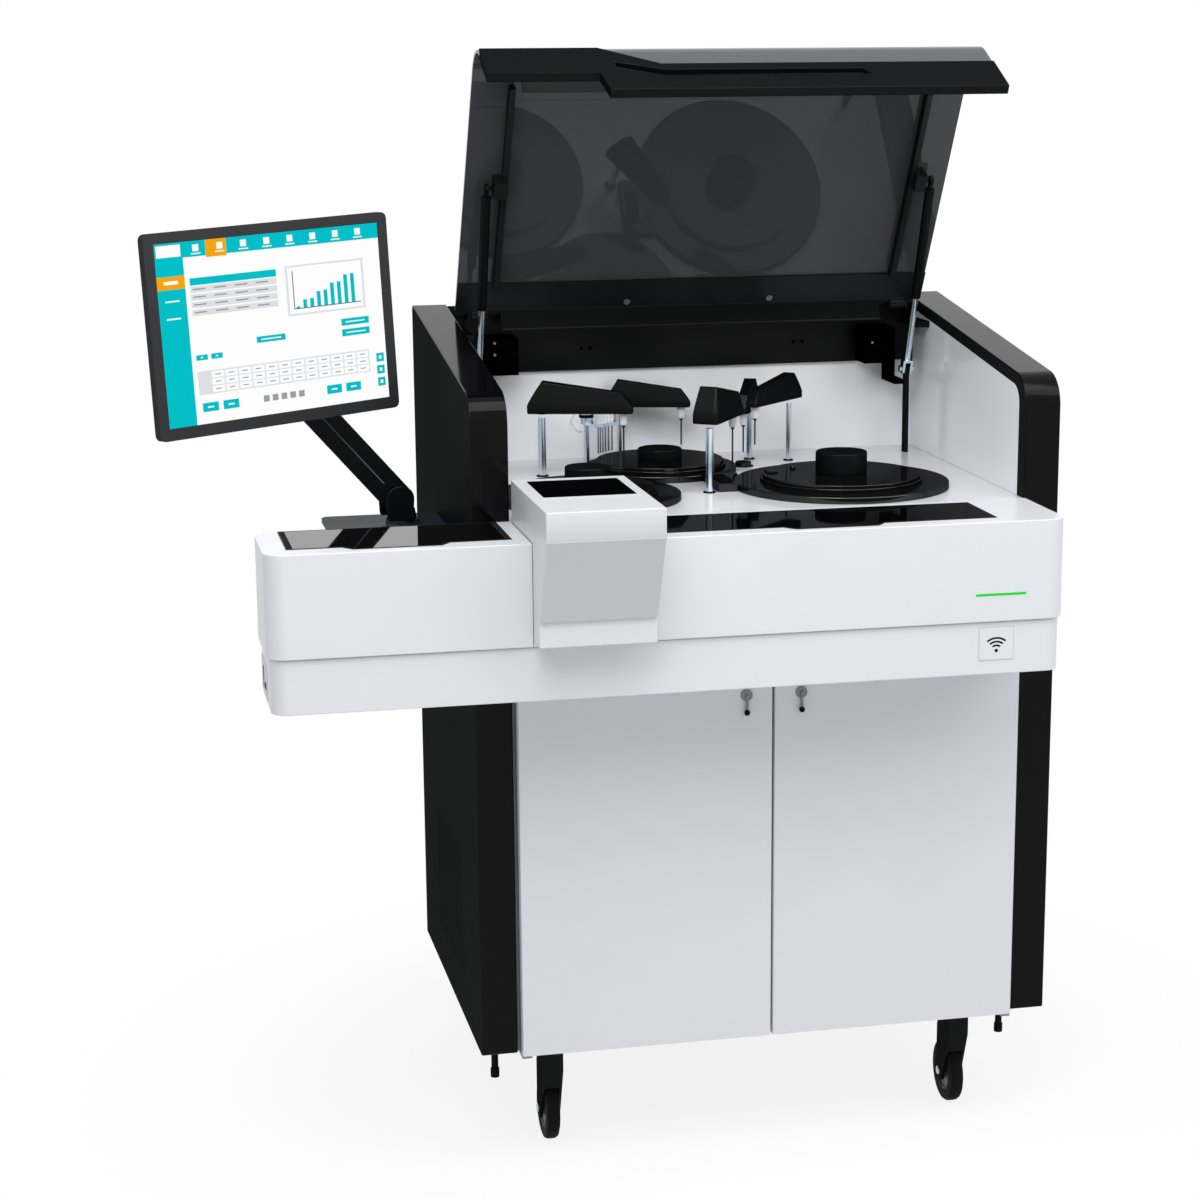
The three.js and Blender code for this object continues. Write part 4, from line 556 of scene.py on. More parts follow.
# %% An outline with round corners
def outline(corners, steps=6):
    path = []
    for i, (u, v, *radius) in enumerate(corners):
        corner = Vector((u, v))
        if not radius:
            path.append(corner)
            continue
        before = (Vector(corners[i - 1][:2]) - corner).normalized()
        after = (Vector(corners[(i + 1) % len(corners)][:2]) - corner).normalized()
        half = before.angle(after) / 2
        centre = corner + (before + after).normalized() * radius[0] / math.sin(half)
        start = corner + before * radius[0] / math.tan(half) - centre
        end = corner + after * radius[0] / math.tan(half) - centre
        sweep = math.atan2(start.x * end.y - start.y * end.x, start.dot(end))
        for step in range(steps + 1):
            angle = sweep * step / steps
            path.append(centre + Vector((
                start.x * math.cos(angle) - start.y * math.sin(angle),
                start.x * math.sin(angle) + start.y * math.cos(angle))))
    return path


# %% Push an outline
def pushed(name, plan, low, high, material, body, axis="Z", radius_mm=0.0, steps=2, place=None):
    turn_to = {"Z": Matrix.Identity(3),
               "X": Matrix(((0, 0, 1), (1, 0, 0), (0, 1, 0))),
               "Y": Matrix(((1, 0, 0), (0, 0, -1), (0, 1, 0)))}[axis]
    bm = bmesh.new()
    foot = [bm.verts.new((p[0] * MM, p[1] * MM, low * MM)) for p in plan]
    head = [bm.verts.new((p[0] * MM, p[1] * MM, high * MM)) for p in plan]
    bm.faces.new(foot)
    bm.faces.new(head)
    for i in range(len(plan)):
        j = (i + 1) % len(plan)
        bm.faces.new((foot[i], foot[j], head[j], head[i]))
    bmesh.ops.recalc_face_normals(bm, faces=bm.faces)
    bmesh.ops.transform(bm, matrix=turn_to.to_4x4(), verts=bm.verts)
    bmesh.ops.transform(bm, matrix=place or Matrix.Translation(home), verts=bm.verts)
    made = mesh_object(name, bm)
    if radius_mm:
        soften(made, radius_mm, steps, 50)
    return dress(made, material, body)


# %% Carve one solid with others
def carve(made, *tools):
    for tool in tools:
        cutter = made.modifiers.new("carve", "BOOLEAN")
        cutter.object = tool
        cutter.solver = "EXACT"
    with_modifiers(made)
    for tool in tools:
        bpy.data.objects.remove(tool)
    return dress(made, made.data.materials[0], made["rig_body"], 35)


# %% [markdown]
# ### Side panels
# The side panels are pressed sheet with a rolled, lacquered black rim and textured outer faces.
# Their inner faces carry a thin white liner above the deck, which is why the inside of the
# analyzer looks white while its rim stays black. The liner is a brighter white than the mouldings,
# as painted light against the shade inside.

# %% Side panels
panel_inside, sheet, panel_foot, panel_round = 394, 4, 185, 50
rear_y, top_front, top_back = 604, 1186.0, 1263.0
liner_near, liner_far = 393.35, 393.95
for side, name in ((-1, "left"), (1, "right")):
    low, high = sorted((side * panel_inside, side * cabinet_half))
    panel = pushed(name + "_panel_sheet", outline(
        [(panel_front, panel_foot), (rear_y, panel_foot), (rear_y, top_back, 8),
         (panel_front, top_front, panel_round)], 18), low, high, black_lacquer, "cabinet",
        axis="X", radius_mm=2.2, steps=3)
    room_front, room_back, room_foot = panel_front + sheet, rear_y - sheet, panel_foot - 5
    carve(panel, pushed("room", outline(
        [(room_front, room_foot), (room_back, room_foot), (room_back, top_back - sheet),
         (room_front, top_front - sheet, panel_round - sheet)], 12), low + sheet, high - sheet,
        black_lacquer, "cabinet", axis="X"))
    slots(panel, [black_sheet], lambda face: abs(face.normal.x) > 0.95)
    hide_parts(name + "_side_panel")
    # painted light: the liner's white is brighter than the mouldings to lift the shade inside
    pushed(name + "_panel_liner", outline(
        [(46, deck_z + 0.3), (rear_y - 3, deck_z + 0.3), (rear_y - 3, top_back - 19, 6),
         (46, top_front - 16, 30)], 16), *sorted((side * liner_near, side * liner_far)),
        painted_light_white, "cabinet", axis="X")
print("side panels on")

# %% [markdown]
# ### Vents
# The lower rear of each side panel is perforated for the cooling air. The holes are 4 mm round on
# a staggered 9 mm pitch. Cutting fifteen hundred holes costs far more than it shows, so they are
# a field of dark discs let into the lacquer, painted shade for the dark inside seen through them.
# The back has three banks of louvre slots, drawn the same way as dark painted shade.

# %% Vent perforations
def perforations(name, x, y_span, z_span, pitch=9, radius=2.1, row_share=0.866):
    bm = bmesh.new()
    face_turn = Matrix.Rotation(math.pi / 2, 4, "Y")
    row = 0
    z = z_span[0]
    while z <= z_span[1]:
        y = y_span[0] + (pitch / 2 if row % 2 else 0)
        while y <= y_span[1]:
            bmesh.ops.create_circle(bm, cap_ends=True, segments=10, radius=radius * MM,
                                    matrix=Matrix.Translation(at(x, y, z)) @ face_turn)
            y += pitch
        z += pitch * row_share
        row += 1
    # painted shade: dark discs stand in for the holes
    dress(mesh_object(name, bm), grip_black, "cabinet")
    return row


vent_x, vent_y, vent_z = cabinet_half + 0.12, (180, 440), (260, 460)
perforations("left_vent_field", -vent_x, vent_y, vent_z)
rows = perforations("right_vent_field", vent_x, vent_y, vent_z)
slot_size, slot_pitch, slot_count, lowest_slot = (150, 0.3, 5), 14, 14, 300
rear_vent = bmesh.new()
for column in (-230, 0, 230):
    for step in range(slot_count):
        bmesh.ops.create_cube(rear_vent, size=1, matrix=Matrix.Translation(
            at(column, rear_y + 0.1, lowest_slot + slot_pitch * step))
            @ Matrix.Diagonal((*(v * MM for v in slot_size), 1)))
# painted shade: dark slots stand in for the louvre openings
dress(mesh_object("rear_vent_slots", rear_vent), grip_black, "cabinet")
print(rows, "rows of holes a side")

# %% [markdown]
# ### Turned parts
# Screws, ports, rims, knobs and wheels are all round, so they are lathed: a profile of
# (radius, height) pairs goes round the axis. Blender's own cylinders would need a cut for each
# step. Small pieces of one kind are merged into one object, with one slot for each finish, so that
# the scene stays easy to read.

# %% Lathe a profile
def turned(name, profile, centre, material, body, sides=96, axis="Z"):
    bm = bmesh.new()
    rings = []
    for k in range(sides):
        angle = 2 * math.pi * k / sides
        ring = []
        for radius, height in profile:
            ring.append(bm.verts.new((radius * MM * math.cos(angle),
                                      radius * MM * math.sin(angle), height * MM)))
        rings.append(ring)
    for k in range(sides):
        a, b = rings[k], rings[(k + 1) % sides]
        for i in range(len(profile) - 1):
            bm.faces.new((a[i], b[i], b[i + 1], a[i + 1]))
    bmesh.ops.remove_doubles(bm, verts=bm.verts, dist=0.005 * MM)
    bmesh.ops.recalc_face_normals(bm, faces=bm.faces)
    if axis == "X":
        bmesh.ops.rotate(bm, verts=bm.verts, matrix=Matrix.Rotation(math.pi / 2, 3, "Y"))
    if axis == "Y":
        bmesh.ops.rotate(bm, verts=bm.verts, matrix=Matrix.Rotation(-math.pi / 2, 3, "X"))
    bmesh.ops.translate(bm, verts=bm.verts, vec=centre)
    return dress(mesh_object(name, bm), material, body)


# %% Merge small pieces
def merge(name, pieces, body):
    bm = bmesh.new()
    materials = []
    for made in pieces:
        start = len(bm.faces)
        bm.from_mesh(made.data)
        bm.faces.ensure_lookup_table()
        offsets = []
        for material in made.data.materials:
            if material not in materials:
                materials.append(material)
            offsets.append(materials.index(material))
        for face in bm.faces[start:]:
            face.material_index = offsets[face.material_index] if offsets else 0
    for made in pieces:
        bpy.data.objects.remove(made)
    joined = mesh_object(name, bm)
    for material in materials:
        joined.data.materials.append(material)
    keep_flats_flat(joined)
    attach(joined, body)
    return joined


# %% [markdown]
# ### The back
# The back is a zinc-plated sheet held by screws. It carries the mains inlet, and the water and
# waste connectors of such a machine, each in its own colour.

# %% Back of the cabinet
def rounded(x, y, radius, steps=6):
    return outline([(x[0], y[0], radius), (x[1], y[0], radius), (x[1], y[1], radius),
                    (x[0], y[1], radius)], steps)


screws = [turned("screw", [(0, 0), (4, 0), (3.4, 1.6), (0, 2.0)], at(x, rear_y, z), bright_steel,
                 "cabinet", sides=16, axis="Y")
          for x in (-380, -190, 0, 190, 380) for z in (200, 720, 1222)]
merge("back_screws", screws, "cabinet")
inlet = [pushed(name, rounded(x, z, corner), -rear_y - depth, -rear_y, material, "cabinet",
                axis="Y", radius_mm=edge)
         for name, x, z, corner, depth, material, edge in (
             ("inlet_plate", (250, 330), (236, 296), 3, 2.0, black_abs, 0.5),
             ("inlet_well", (262, 292), (246, 268), 3, 2.3, grip_black, 0.0),
             ("inlet_switch", (302, 318), (248, 276), 2, 4.5, nylon_grey, 1.0))]
merge("mains_inlet", inlet, "cabinet")
port_profile = [(0, 0), (13, 0), (13, 3), (8, 4), (8, 7.5), (5, 8.2), (5, 2), (0, 2)]
ports = [turned("port", port_profile, at(x, rear_y, 250), material, "cabinet", sides=32, axis="Y")
         for x, material in ((-330, white_pom), (-290, cap_blue), (-250, brass_tone))]
merge("fluid_ports", ports, "cabinet")
print("back dressed with", len(screws), "screws and", len(ports), "ports")

# %% [markdown]
# ## The front module
# ### Cover and apron
# The upper cover and the apron are white mouldings with a 1.6 mm edge radius and round corners
# that a copied solid would show as facets. So both are pushed anew from one plan, the apron a
# little inset, and then hollowed. The cover has two stepped mouths for the bay lids.

# %% Plans of the module and its bays
module_left, module_right, module_front, module_back = -763, 398, -159, 17.7
module_corner, apron_inset, wall = 28, 4.5, 3
cover_low, apron_low, apron_high = 858, 778.7, 857.7
tab_run, tab_depth, tab_slant = 150, 18, 14


def module_plan(inset):
    corner = module_corner - inset
    return outline([(module_left + inset, module_front + inset, corner),
                    (module_right - inset, module_front + inset, corner),
                    (module_right - inset, module_back - inset),
                    (module_left + inset, module_back - inset, corner)], 12)


def rectangle(x, y):
    return [(x[0], y[0]), (x[1], y[0]), (x[1], y[1]), (x[0], y[1])]


def bay_plan(x, y, tab, grow):
    tab_y = y[0] - tab_depth - grow
    return outline([
        (x[0] - grow, y[0] - grow), (tab - grow, y[0] - grow), (tab + tab_slant - grow, tab_y),
        (tab + tab_run - tab_slant + grow, tab_y), (tab + tab_run + grow, y[0] - grow),
        (x[1] + grow, y[0] - grow), (x[1] + grow, y[1] + grow), (x[0] - grow, y[1] + grow)])


bays = {"left_bay_lid": ((-729, -414), (-122, 16), -652),
        "right_bay_lid": ((-193.5, 300), (-127, 2), -22)}
print("module", module_right - module_left, "mm long with", len(bays), "bays")

# %% Cover and apron
cover = pushed("front_cover_shell", module_plan(0), cover_low, deck_z, white_abs, "cabinet",
               radius_mm=1.6, steps=3)
rooms = [pushed("room", module_plan(wall), cover_low - 8, 997.8, white_abs, "cabinet")]
for x, y, tab in bays.values():
    rooms.append(pushed("seat", bay_plan(x, y, tab, 0.5), 1000.8, 1010, white_abs, "cabinet"))
    rooms.append(pushed("mouth", rectangle((x[0] + 7, x[1] - 7), (y[0] + 7, y[1] - 7)), 990, 1004,
                        white_abs, "cabinet"))
carve(cover, *rooms)
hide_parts("front_cover")
apron = pushed("front_apron_shell", module_plan(apron_inset), apron_low, apron_high, white_abs,
               "cabinet", radius_mm=1.6, steps=3)
carve(apron, pushed("room", module_plan(apron_inset + wall), apron_low + wall, 870, white_abs,
                    "cabinet"))
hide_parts("front_apron")
print("cover hollowed by", len(rooms), "cuts")

# %% [markdown]
# ### Bay lids
# The two bay lids are glossy black sheets that lie in the cover. A charcoal border is printed on
# them, narrow along the sides and wider at the ends. It is a frame of its own, carved from the
# lid's outline and a tenth of a millimetre thick, and it rides on the lid.

# %% Bay lids
refined("left_bay_lid", bay_glass, 0.5)
refined("right_bay_lid", bay_acrylic, 0.5)
border_end = 6.5
for name, (x, y, tab) in bays.items():
    lid_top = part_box(name)[1].z / MM
    glass_x = (x[0] + border_end, x[1] - border_end)
    border, opening = (pushed("border", bay_plan(span, y, tab, grow), lid_top + low,
                              lid_top + high, border_print, body_of_node[name])
                       for span, grow, low, high in ((x, -0.6, 0.02, 0.12), (glass_x, -3, -1, 1)))
    carve(border, opening)
    border.name = name + "_border"
print("bay lids laid")

# %% [markdown]
# ### Transfer housing
# The housing over the module is a white moulding with a 1.5 mm edge. Where it meets the module,
# the shade in the gap is painted as a thin grey L on its left side.

# %% Transfer housing
refined("transfer_housing", white_abs, 1.5, steps=3, shade=40)
# painted shade: a thin grey strip for the shadow in the joint
pushed("housing_gap_shade", outline([(-159.3, 858.5), (-156, 858.5), (-156, 1004), (15, 1004),
                                (15, 1005.8), (-158.6, 1005.8), (-159.3, 1005)]),
       -393.1, -392.2, gap_shade_grey, "cabinet", axis="X")
print("housing set on the module")

# %% [markdown]
# ### Status light, card reader and ports
# The status light is a slim bar in the front face. Below it is the card reader, a small square
# plate with the usual sign of three arcs over a dot, and the left end of the apron has a plate
# with two sockets.

# %% Status light and reader plate
def block(name, x, y, z, material, body, radius_mm=0.8):
    return pushed(name, rectangle(x, y), z[0], z[1], material, body, radius_mm=radius_mm)


block("status_light", (258, 335), (module_front - 0.4, module_front + 0.4), (896.6, 900.2),
      status_green, "cabinet", radius_mm=0.3)
apron_y = module_front + apron_inset
reader = [block("reader_frame", (265.4, 319.6), (apron_y - 0.5, apron_y + 0.3), (799.4, 849.6),
                shade_grey, "cabinet", radius_mm=0.2),
          block("reader_plate", (266.6, 318.4), (apron_y - 0.9, apron_y), (800.6, 848.4),
                white_abs, "cabinet", radius_mm=0.3)]
print("light and plate fitted")

# %% Sign on the reader
sign_x, sign_y, sign_z, arc_steps, arc_squash = 292.5, apron_y - 1.0, 814, 12, 0.92
dot = bmesh.new()
bmesh.ops.create_circle(dot, cap_ends=True, segments=24, radius=2.6 * MM,
                        matrix=Matrix.Translation(at(sign_x, sign_y, sign_z))
                        @ Matrix.Rotation(math.pi / 2, 4, "X"))
reader.append(dress(mesh_object("reader_dot", dot), grip_black, "cabinet"))
for radius in (8.5, 14.5, 20.5):
    wave = bmesh.new()
    edge = []
    for k in range(arc_steps + 1):
        angle = math.radians(47 + 86 * k / arc_steps)
        for r in (radius - 1.5, radius + 1.5):
            edge.append(wave.verts.new(at(sign_x + r * math.cos(angle), sign_y,
                                          sign_z + r * math.sin(angle) * arc_squash)))
    for a in range(0, 2 * arc_steps, 2):
        wave.faces.new((edge[a], edge[a + 1], edge[a + 3], edge[a + 2]))
    reader.append(dress(mesh_object("reader_wave", wave), grip_black, "cabinet"))
merge("card_reader", reader, "cabinet")
print("reader of", len(reader), "parts")

# %% End ports
port_x = module_left + apron_inset
sockets = [pushed(name, rounded(y, z, corner), port_x - out_by, port_x + in_by, material,
                  "cabinet", axis="X", radius_mm=edge)
           for name, y, z, corner, out_by, in_by, material, edge in (
               ("port_plate", (-94, -4), (785, 836), 5, 0.6, 0.2, shade_grey, 0.2),
               ("port_slot", (-40, -28), (792, 824), 4, 0.8, 0, grip_black, 0.0),
               ("port_small", (-74, -54), (796, 806), 2, 0.8, 0, grip_black, 0.0))]
merge("end_ports", sockets, "cabinet")
print("front module dressed")

# %% [markdown]
# ### Window and facing
# The housing has a dark window in its roof, a glass in a white frame. Its slanting front is a
# darker grey than the rest, so it gets a thin plate of its own, made of six faces on that slope.

# %% Window
window = [pushed("window_frame", rounded((-380, -234.5), (-156, -6), 3), 1067.0, 1067.5,
                 white_abs, "cabinet", radius_mm=0.2),
          pushed("window_glass", rounded((-373.5, -241), (-148, -13), 2), 1067.3, 1068.0,
                 tinted_glass, "cabinet", radius_mm=0.2)]
merge("housing_window", window, "cabinet")
print("window set in the roof")

# %% Facing
lip, foot = Vector((0, -264.0, 1026.0)), Vector((0, -208.5, 904.0))
facing_x, facing_thick, facing_margin = (-391.2, -225.8), 0.6, 0.004
slant = foot - lip
out = Vector((0, slant.z, -slant.y)).normalized() * facing_thick
facing = bmesh.new()
corners = []
for x in facing_x:
    for point in (lip + slant * facing_margin, foot - slant * facing_margin):
        for p in (point, point + out):
            corners.append(facing.verts.new(at(x, p.y, p.z)))
for quad in ((0, 1, 3, 2), (4, 6, 7, 5), (0, 4, 5, 1), (2, 3, 7, 6), (0, 2, 6, 4), (1, 5, 7, 3)):
    facing.faces.new([corners[i] for i in quad])
bmesh.ops.recalc_face_normals(facing, faces=facing.faces)
dress(mesh_object("housing_facing", facing), shade_grey, "cabinet")
print("facing", round(slant.length), "mm high")

# %% [markdown]
# ## The carousels
# Rim, cover and knob are round black pieces. The CAD's facets would show in their highlights, so
# they are lathed anew with about a hundred sides and a small radius at each shoulder. The knob is
# a black cap with a fine groove at its foot.

# %% Carousel sizes
carousels = {"reagent": (159, 191.5, 167, 126, 40, 55), "sample": (-248, 172, 143, 108, 33.5, 51),
             "reaction": (-82.5, 399, 123, 106, 35.5, 38)}
rim_top = deck_z + 10.5
cover_top = rim_top + 10
step_top = cover_top - 5


def shoulder(radius, height, size, steps=4):
    return [(radius - size + size * math.sin(a), height - size + size * math.cos(a))
            for a in (math.pi / 2 * (1 - k / steps) for k in range(steps + 1))]


print("rims", rim_top - deck_z, "mm over the deck")

# %% Rims, covers and knobs
for name, (x, y, rim, cover, knob, knob_height) in carousels.items():
    well, mouth = rim - 14, cover - 8
    made = turned(name + "_rim_ring", [
        (0, deck_z - 60), (well - 0.4, deck_z - 60), (well - 0.4, deck_z + 0.3),
        (rim, deck_z + 0.3), *shoulder(rim, rim_top, 2.0), (mouth, rim_top),
        (mouth, rim_top - 9), (well - 3, rim_top - 12), (well - 3, deck_z - 57),
        (14, deck_z - 57), (14, deck_z - 35), (5, deck_z - 35), (5, deck_z - 15),
        (0, deck_z - 15)], at(x, y, 0), disc_black, body_of_node[name + "_carousel_rim"],
        sides=128)
    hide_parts(name + "_carousel_rim")
    knob_top = deck_z + knob_height
    body = body_of_node[name + "_carousel_cover"]
    lid = turned(name + "_cover_disc", [
        (knob - 6, knob_top - 6), (knob - 1.5, knob_top - 8), (knob - 1.5, cover_top + 0.2),
        *reversed(shoulder(cover - 4, cover_top, 1.0)), (cover - 4, step_top),
        *reversed(shoulder(cover, step_top, 1.0)), (cover, rim_top + 0.3),
        (mouth - 0.3, rim_top + 0.3), (mouth - 0.3, rim_top - 5.7), (mouth - 3.3, rim_top - 5.7),
        (mouth - 3.3, cover_top - 3), (knob - 6, cover_top - 3), (knob - 6, knob_top - 6)],
        at(x, y, 0), disc_black, body, sides=128)
    cap = turned(name + "_cover_knob", [
        (0, knob_top), *reversed(shoulder(knob, knob_top, 2.6, 6)), (knob, cover_top + 3.2),
        (knob - 1.2, cover_top + 2.4), (knob - 1.2, cover_top + 0.4), (0, cover_top + 0.4)],
        at(x, y, 0), black_abs, body)
    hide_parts(name + "_carousel_cover")
    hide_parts(name + "_carousel_cover")
    refined(name + "_carousel_rotor", nylon_grey)
    print(name, "carousel,", 2 * rim, "mm wide")

# %% [markdown]
# A few small things stand on the deck between the carousels: a code reader against the reagent
# rim, a wash cup for the first stirrer, and a catch with its pin on the reagent cover. The
# reader's plan follows the rim's arc, so that the two fit like the real mouldings.

# %% Reader, wash cup and cover catch
reagent_x, reagent_y, reagent_rim = carousels["reagent"][:3]


def around_reagent(radius, degrees):
    return (reagent_x + radius * math.cos(math.radians(degrees)),
            reagent_y + radius * math.sin(math.radians(degrees)))


arc = [around_reagent(reagent_rim + 1.2, degrees) for degrees in range(148, 185, 4)]
pushed("code_reader", [(-40, 284), *arc, (-40, 180)], deck_z + 0.2, deck_z + 12.5, disc_black,
       "cabinet", radius_mm=1.2)
block("reader_head", (-34, -12), (200, 262), (deck_z + 12.4, deck_z + 15), grip_black, "cabinet")
turned("stirrer_wash_cup", [(8.5, 1.0), (8.5, 7.0), (9.3, 8.0), (12, 8.0), (13, 7.0), (13, 1.6),
                            (17, 0.9), (17, 0.2), (0, 0.2), (0, 1.0), (8.5, 1.0)],
       at(60, 412.6, deck_z), disc_black, "cabinet", sides=48)
catch_x, catch_y = around_reagent(112, 163)
cover_body = body_of_node["reagent_carousel_cover"]
catch = [block("catch", (catch_x - 5, catch_x + 12), (catch_y - 11, catch_y + 11),
               (cover_top - 5, cover_top + 3), disc_black, cover_body, 1.0),
         turned("catch_pin", [(0, 0), (4.5, 0), (4.5, 3), (3.8, 3.8), (0, 3.8)],
                at(catch_x + 44, catch_y + 22, cover_top), disc_black, cover_body, sides=32)]
merge("reagent_cover_catch", catch, cover_body)
print("deck details set")

# %% [markdown]
# ### What the rotors carry
# Under the covers the rotors are loaded: wedge bottles on the reagent rotor, capped tubes on the
# sample rotor and clear cuvettes on the reaction rotor. A short function makes each of them at one
# place, and a turn of the placing matrix carries it round its ring.

# %% Bottle, tube and cuvette
load_foot = 976


def ring_plan(radius, sides=16):
    return [(radius * math.cos(2 * math.pi * k / sides), radius * math.sin(2 * math.pi * k / sides))
            for k in range(sides)]


def load_piece(name, plan, low, high, material, place):
    return pushed(name, plan, low, high, material, "cabinet", place=place)


def wedge_bottle(place):
    wedge = outline([(-16, -8.5, 2.5), (15, -12, 2.5), (15, 12, 2.5), (-16, 8.5, 2.5)], steps=3)
    return [load_piece("bottle", wedge, load_foot, 1003, bottle_hdpe, place),
            load_piece("cap", ring_plan(6), 1003, 1008, cap_blue, place)]


def sample_tube(place):
    return [load_piece("tube", ring_plan(5), load_foot, 1004, cuvette_clear, place),
            load_piece("stopper", ring_plan(5.6), 1004, 1009, cap_blue, place)]


def cuvette(place):
    return [load_piece("cuvette", rectangle((-3, 3), (-2, 2)), load_foot, 1006, cuvette_clear,
                       place)]


# %% Fill the rotors
def loaded(name, radius, count, builder):
    x, y = carousels[name][:2]
    made = []
    for k in range(count):
        made.extend(builder(Matrix.Translation(at(x, y, 0))
                            @ Matrix.Rotation(2 * math.pi * k / count, 4, "Z")
                            @ Matrix.Translation((radius * MM, 0, 0))))
    merge(name + "_load", made, body_of_node[name + "_carousel_rotor"])
    print(count, "places filled on the", name, "rotor")


loaded("reagent", 78, 18, wedge_bottle)
loaded("sample", 80, 24, sample_tube)
loaded("reaction", 88, 60, cuvette)

# %% [markdown]
# ## The dosing and stirring arms
# Each arm is a chromed column under a black hood that swells over the column and narrows to its
# nose, with a white acetal nozzle and a thin coated needle below. A bevelled box can't give that
# crown. So the hood is lofted through thirteen sections: the higher ones draw the plan inwards
# more and more, and the lower edge stays crisp. A section is a pair: its height as a share of the
# crown's, and how far the plan is drawn in, where 1 is fully.

# %% Sections of a hood
hood_overhang, nose_overhang = 22, 15
crown_share, nose_share = 0.14, 0.885
crown_fall, side_draw, fall_power = 0.34, 0.34, 2.5
skirt = [(0.0, 0.05), (0.03, 0.0), (0.25, 0.0)]
flank = [(0.25 + 0.69 * k / 6, 0.88 * (k / 6) ** 1.15) for k in range(1, 7)]
brow = [(0.94 + 0.06 * math.sin(a), 0.88 + 0.2 * (1 - math.cos(a)))
        for a in (math.pi / 2 * k / 4 for k in range(1, 5))]
hood_sections = skirt + flank + brow
print("hoods have", len(hood_sections), "sections")


# %% Hood
def hood(name, reach, crown, tail, nose, place, body):
    start, end = -hood_overhang, reach + nose_overhang
    radius = 0.4 * nose
    plan = outline([(start, -tail, radius), (end, -nose, radius), (end, nose, radius),
                    (start, tail, radius)], steps=7)
    crown_at = start + (end - start) * crown_share
    nose_at = start + (end - start) * nose_share
    bm = bmesh.new()
    rings = []
    for rise_share, draw in hood_sections:
        ring = []
        for p in plan:
            u = min(max(p.x, crown_at), nose_at)
            share = (u - crown_at) / (nose_at - crown_at)
            z = crown - crown * crown_fall * share ** fall_power
            inward = p.x + (u - p.x) * min(draw, 1.0)
            width = p.y * (1 - side_draw * draw)
            ring.append(bm.verts.new((inward * MM, width * MM, z * rise_share * MM)))
        rings.append(ring)
    for low, high in zip(rings, rings[1:]):
        for i in range(len(plan)):
            j = (i + 1) % len(plan)
            bm.faces.new((low[i], low[j], high[j], high[i]))
    bm.faces.new(list(reversed(rings[0])))
    bm.faces.new(rings[-1])
    bmesh.ops.recalc_face_normals(bm, faces=bm.faces)
    bmesh.ops.transform(bm, matrix=place, verts=bm.verts)
    return dress(mesh_object(name, bm), black_abs, body, angle=38)


# %% [markdown]
# The table gives each arm's place, its heading in degrees, its reach, the height of its hood's
# lower edge, the hood's crown, tail and nose, the column's radius and how high the needle ends
# over the deck. The nozzle's parts ride on the head, and the flange stays on the deck.

# %% Arms
arms = {"sample_arm": (-275, 395, -16.5, 130, 102, 50, 19, 13, 6.2, 22.5),
        "wash_arm": (-118, 540, -16.5, 102, 87, 44, 15.2, 12, 5.2, 22.5),
        "reagent_arm": (-54, 182, 53.6, 94, 108, 56, 21, 14, 6.2, 22.5),
        "first_stirrer": (88, 480, -112.6, 73, 87, 46, 15, 10, 5.6, 22.5),
        "second_stirrer": (147, 452, -133.9, 114, 103, 42, 15, 10, 4.6, 40.5)}
collar = [(0, 0.2), (7.4, 0.2), (7.4, -4), (6.6, -5), (0, -5)]
sleeve = [(0, -4), (6.4, -5), (5.6, -18), (4.4, -19.5), (0, -19.5)]
ferrule = [(0, -19), (3, -19.5), (3, -22), (1.5, -23), (0, -23)]
for name, (x, y, heading, reach, lift, crown, tail, nose, column, tip) in arms.items():
    refined(name + "_column", chrome)
    body = body_of_node[name + "_head"]
    place = (Matrix.Translation(at(x, y, deck_z + lift))
             @ Matrix.Rotation(math.radians(heading), 4, "Z"))
    made = hood(name + "_hood", reach, crown, tail, nose, place, body)
    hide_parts(name + "_head")
    drop = lift - tip
    needle = [(0, -22), (1.3, -22), (1.3, -drop + 2), (0.4, -drop), (0, -drop)]
    boss = [(0, 0.2), (column + 1.6, 0.2), (column + 1.6, -1.6), (column + 1, -2.2), (0, -2.2)]
    end = place @ Vector((reach * MM, 0, 0))
    parts = [turned("part", profile, centre, material, body, sides=sides)
             for profile, centre, material, sides in (
                 (collar, end, white_pom, 40), (sleeve, end, white_pom, 40),
                 (ferrule, end, needle_black, 24), (needle, end, needle_black, 16),
                 (boss, place @ Vector((0, 0, 0)), black_abs, 40))]
    merge(name + "_nozzle", parts, body)
    turned(name + "_flange", [(column + 0.4, 0.1), (column + 3.6, 0.1), (column + 3.6, 1.2),
                              (column + 3, 1.8), (column + 0.4, 1.8)], at(x, y, deck_z),
           black_abs, "cabinet", sides=48)
print(len(arms), "arms made")

# %% [markdown]
# ### Cuvette washer
# The cuvette washer is a chromed post with a clear glass cup on top and a row of white washing
# tubes over the reaction carousel. A short clear hose loops from the cup back to the post. Its few
# points are joined by a smooth curve, and a ring is carried along it without twist.

# %% A tube along points
def curve_through(points, steps):
    dense = []
    last = len(points) - 1
    for i in range(last):
        p0, p1 = Vector(points[max(i - 1, 0)]), Vector(points[i])
        p2, p3 = Vector(points[i + 1]), Vector(points[min(i + 2, last)])
        for k in range(steps):
            t = k / steps
            dense.append(0.5 * ((2 * p1) + (p2 - p0) * t + (2 * p0 - 5 * p1 + 4 * p2 - p3) * t * t
                                + (3 * p1 - 3 * p2 + p3 - p0) * t ** 3))
    dense.append(Vector(points[-1]))
    return dense


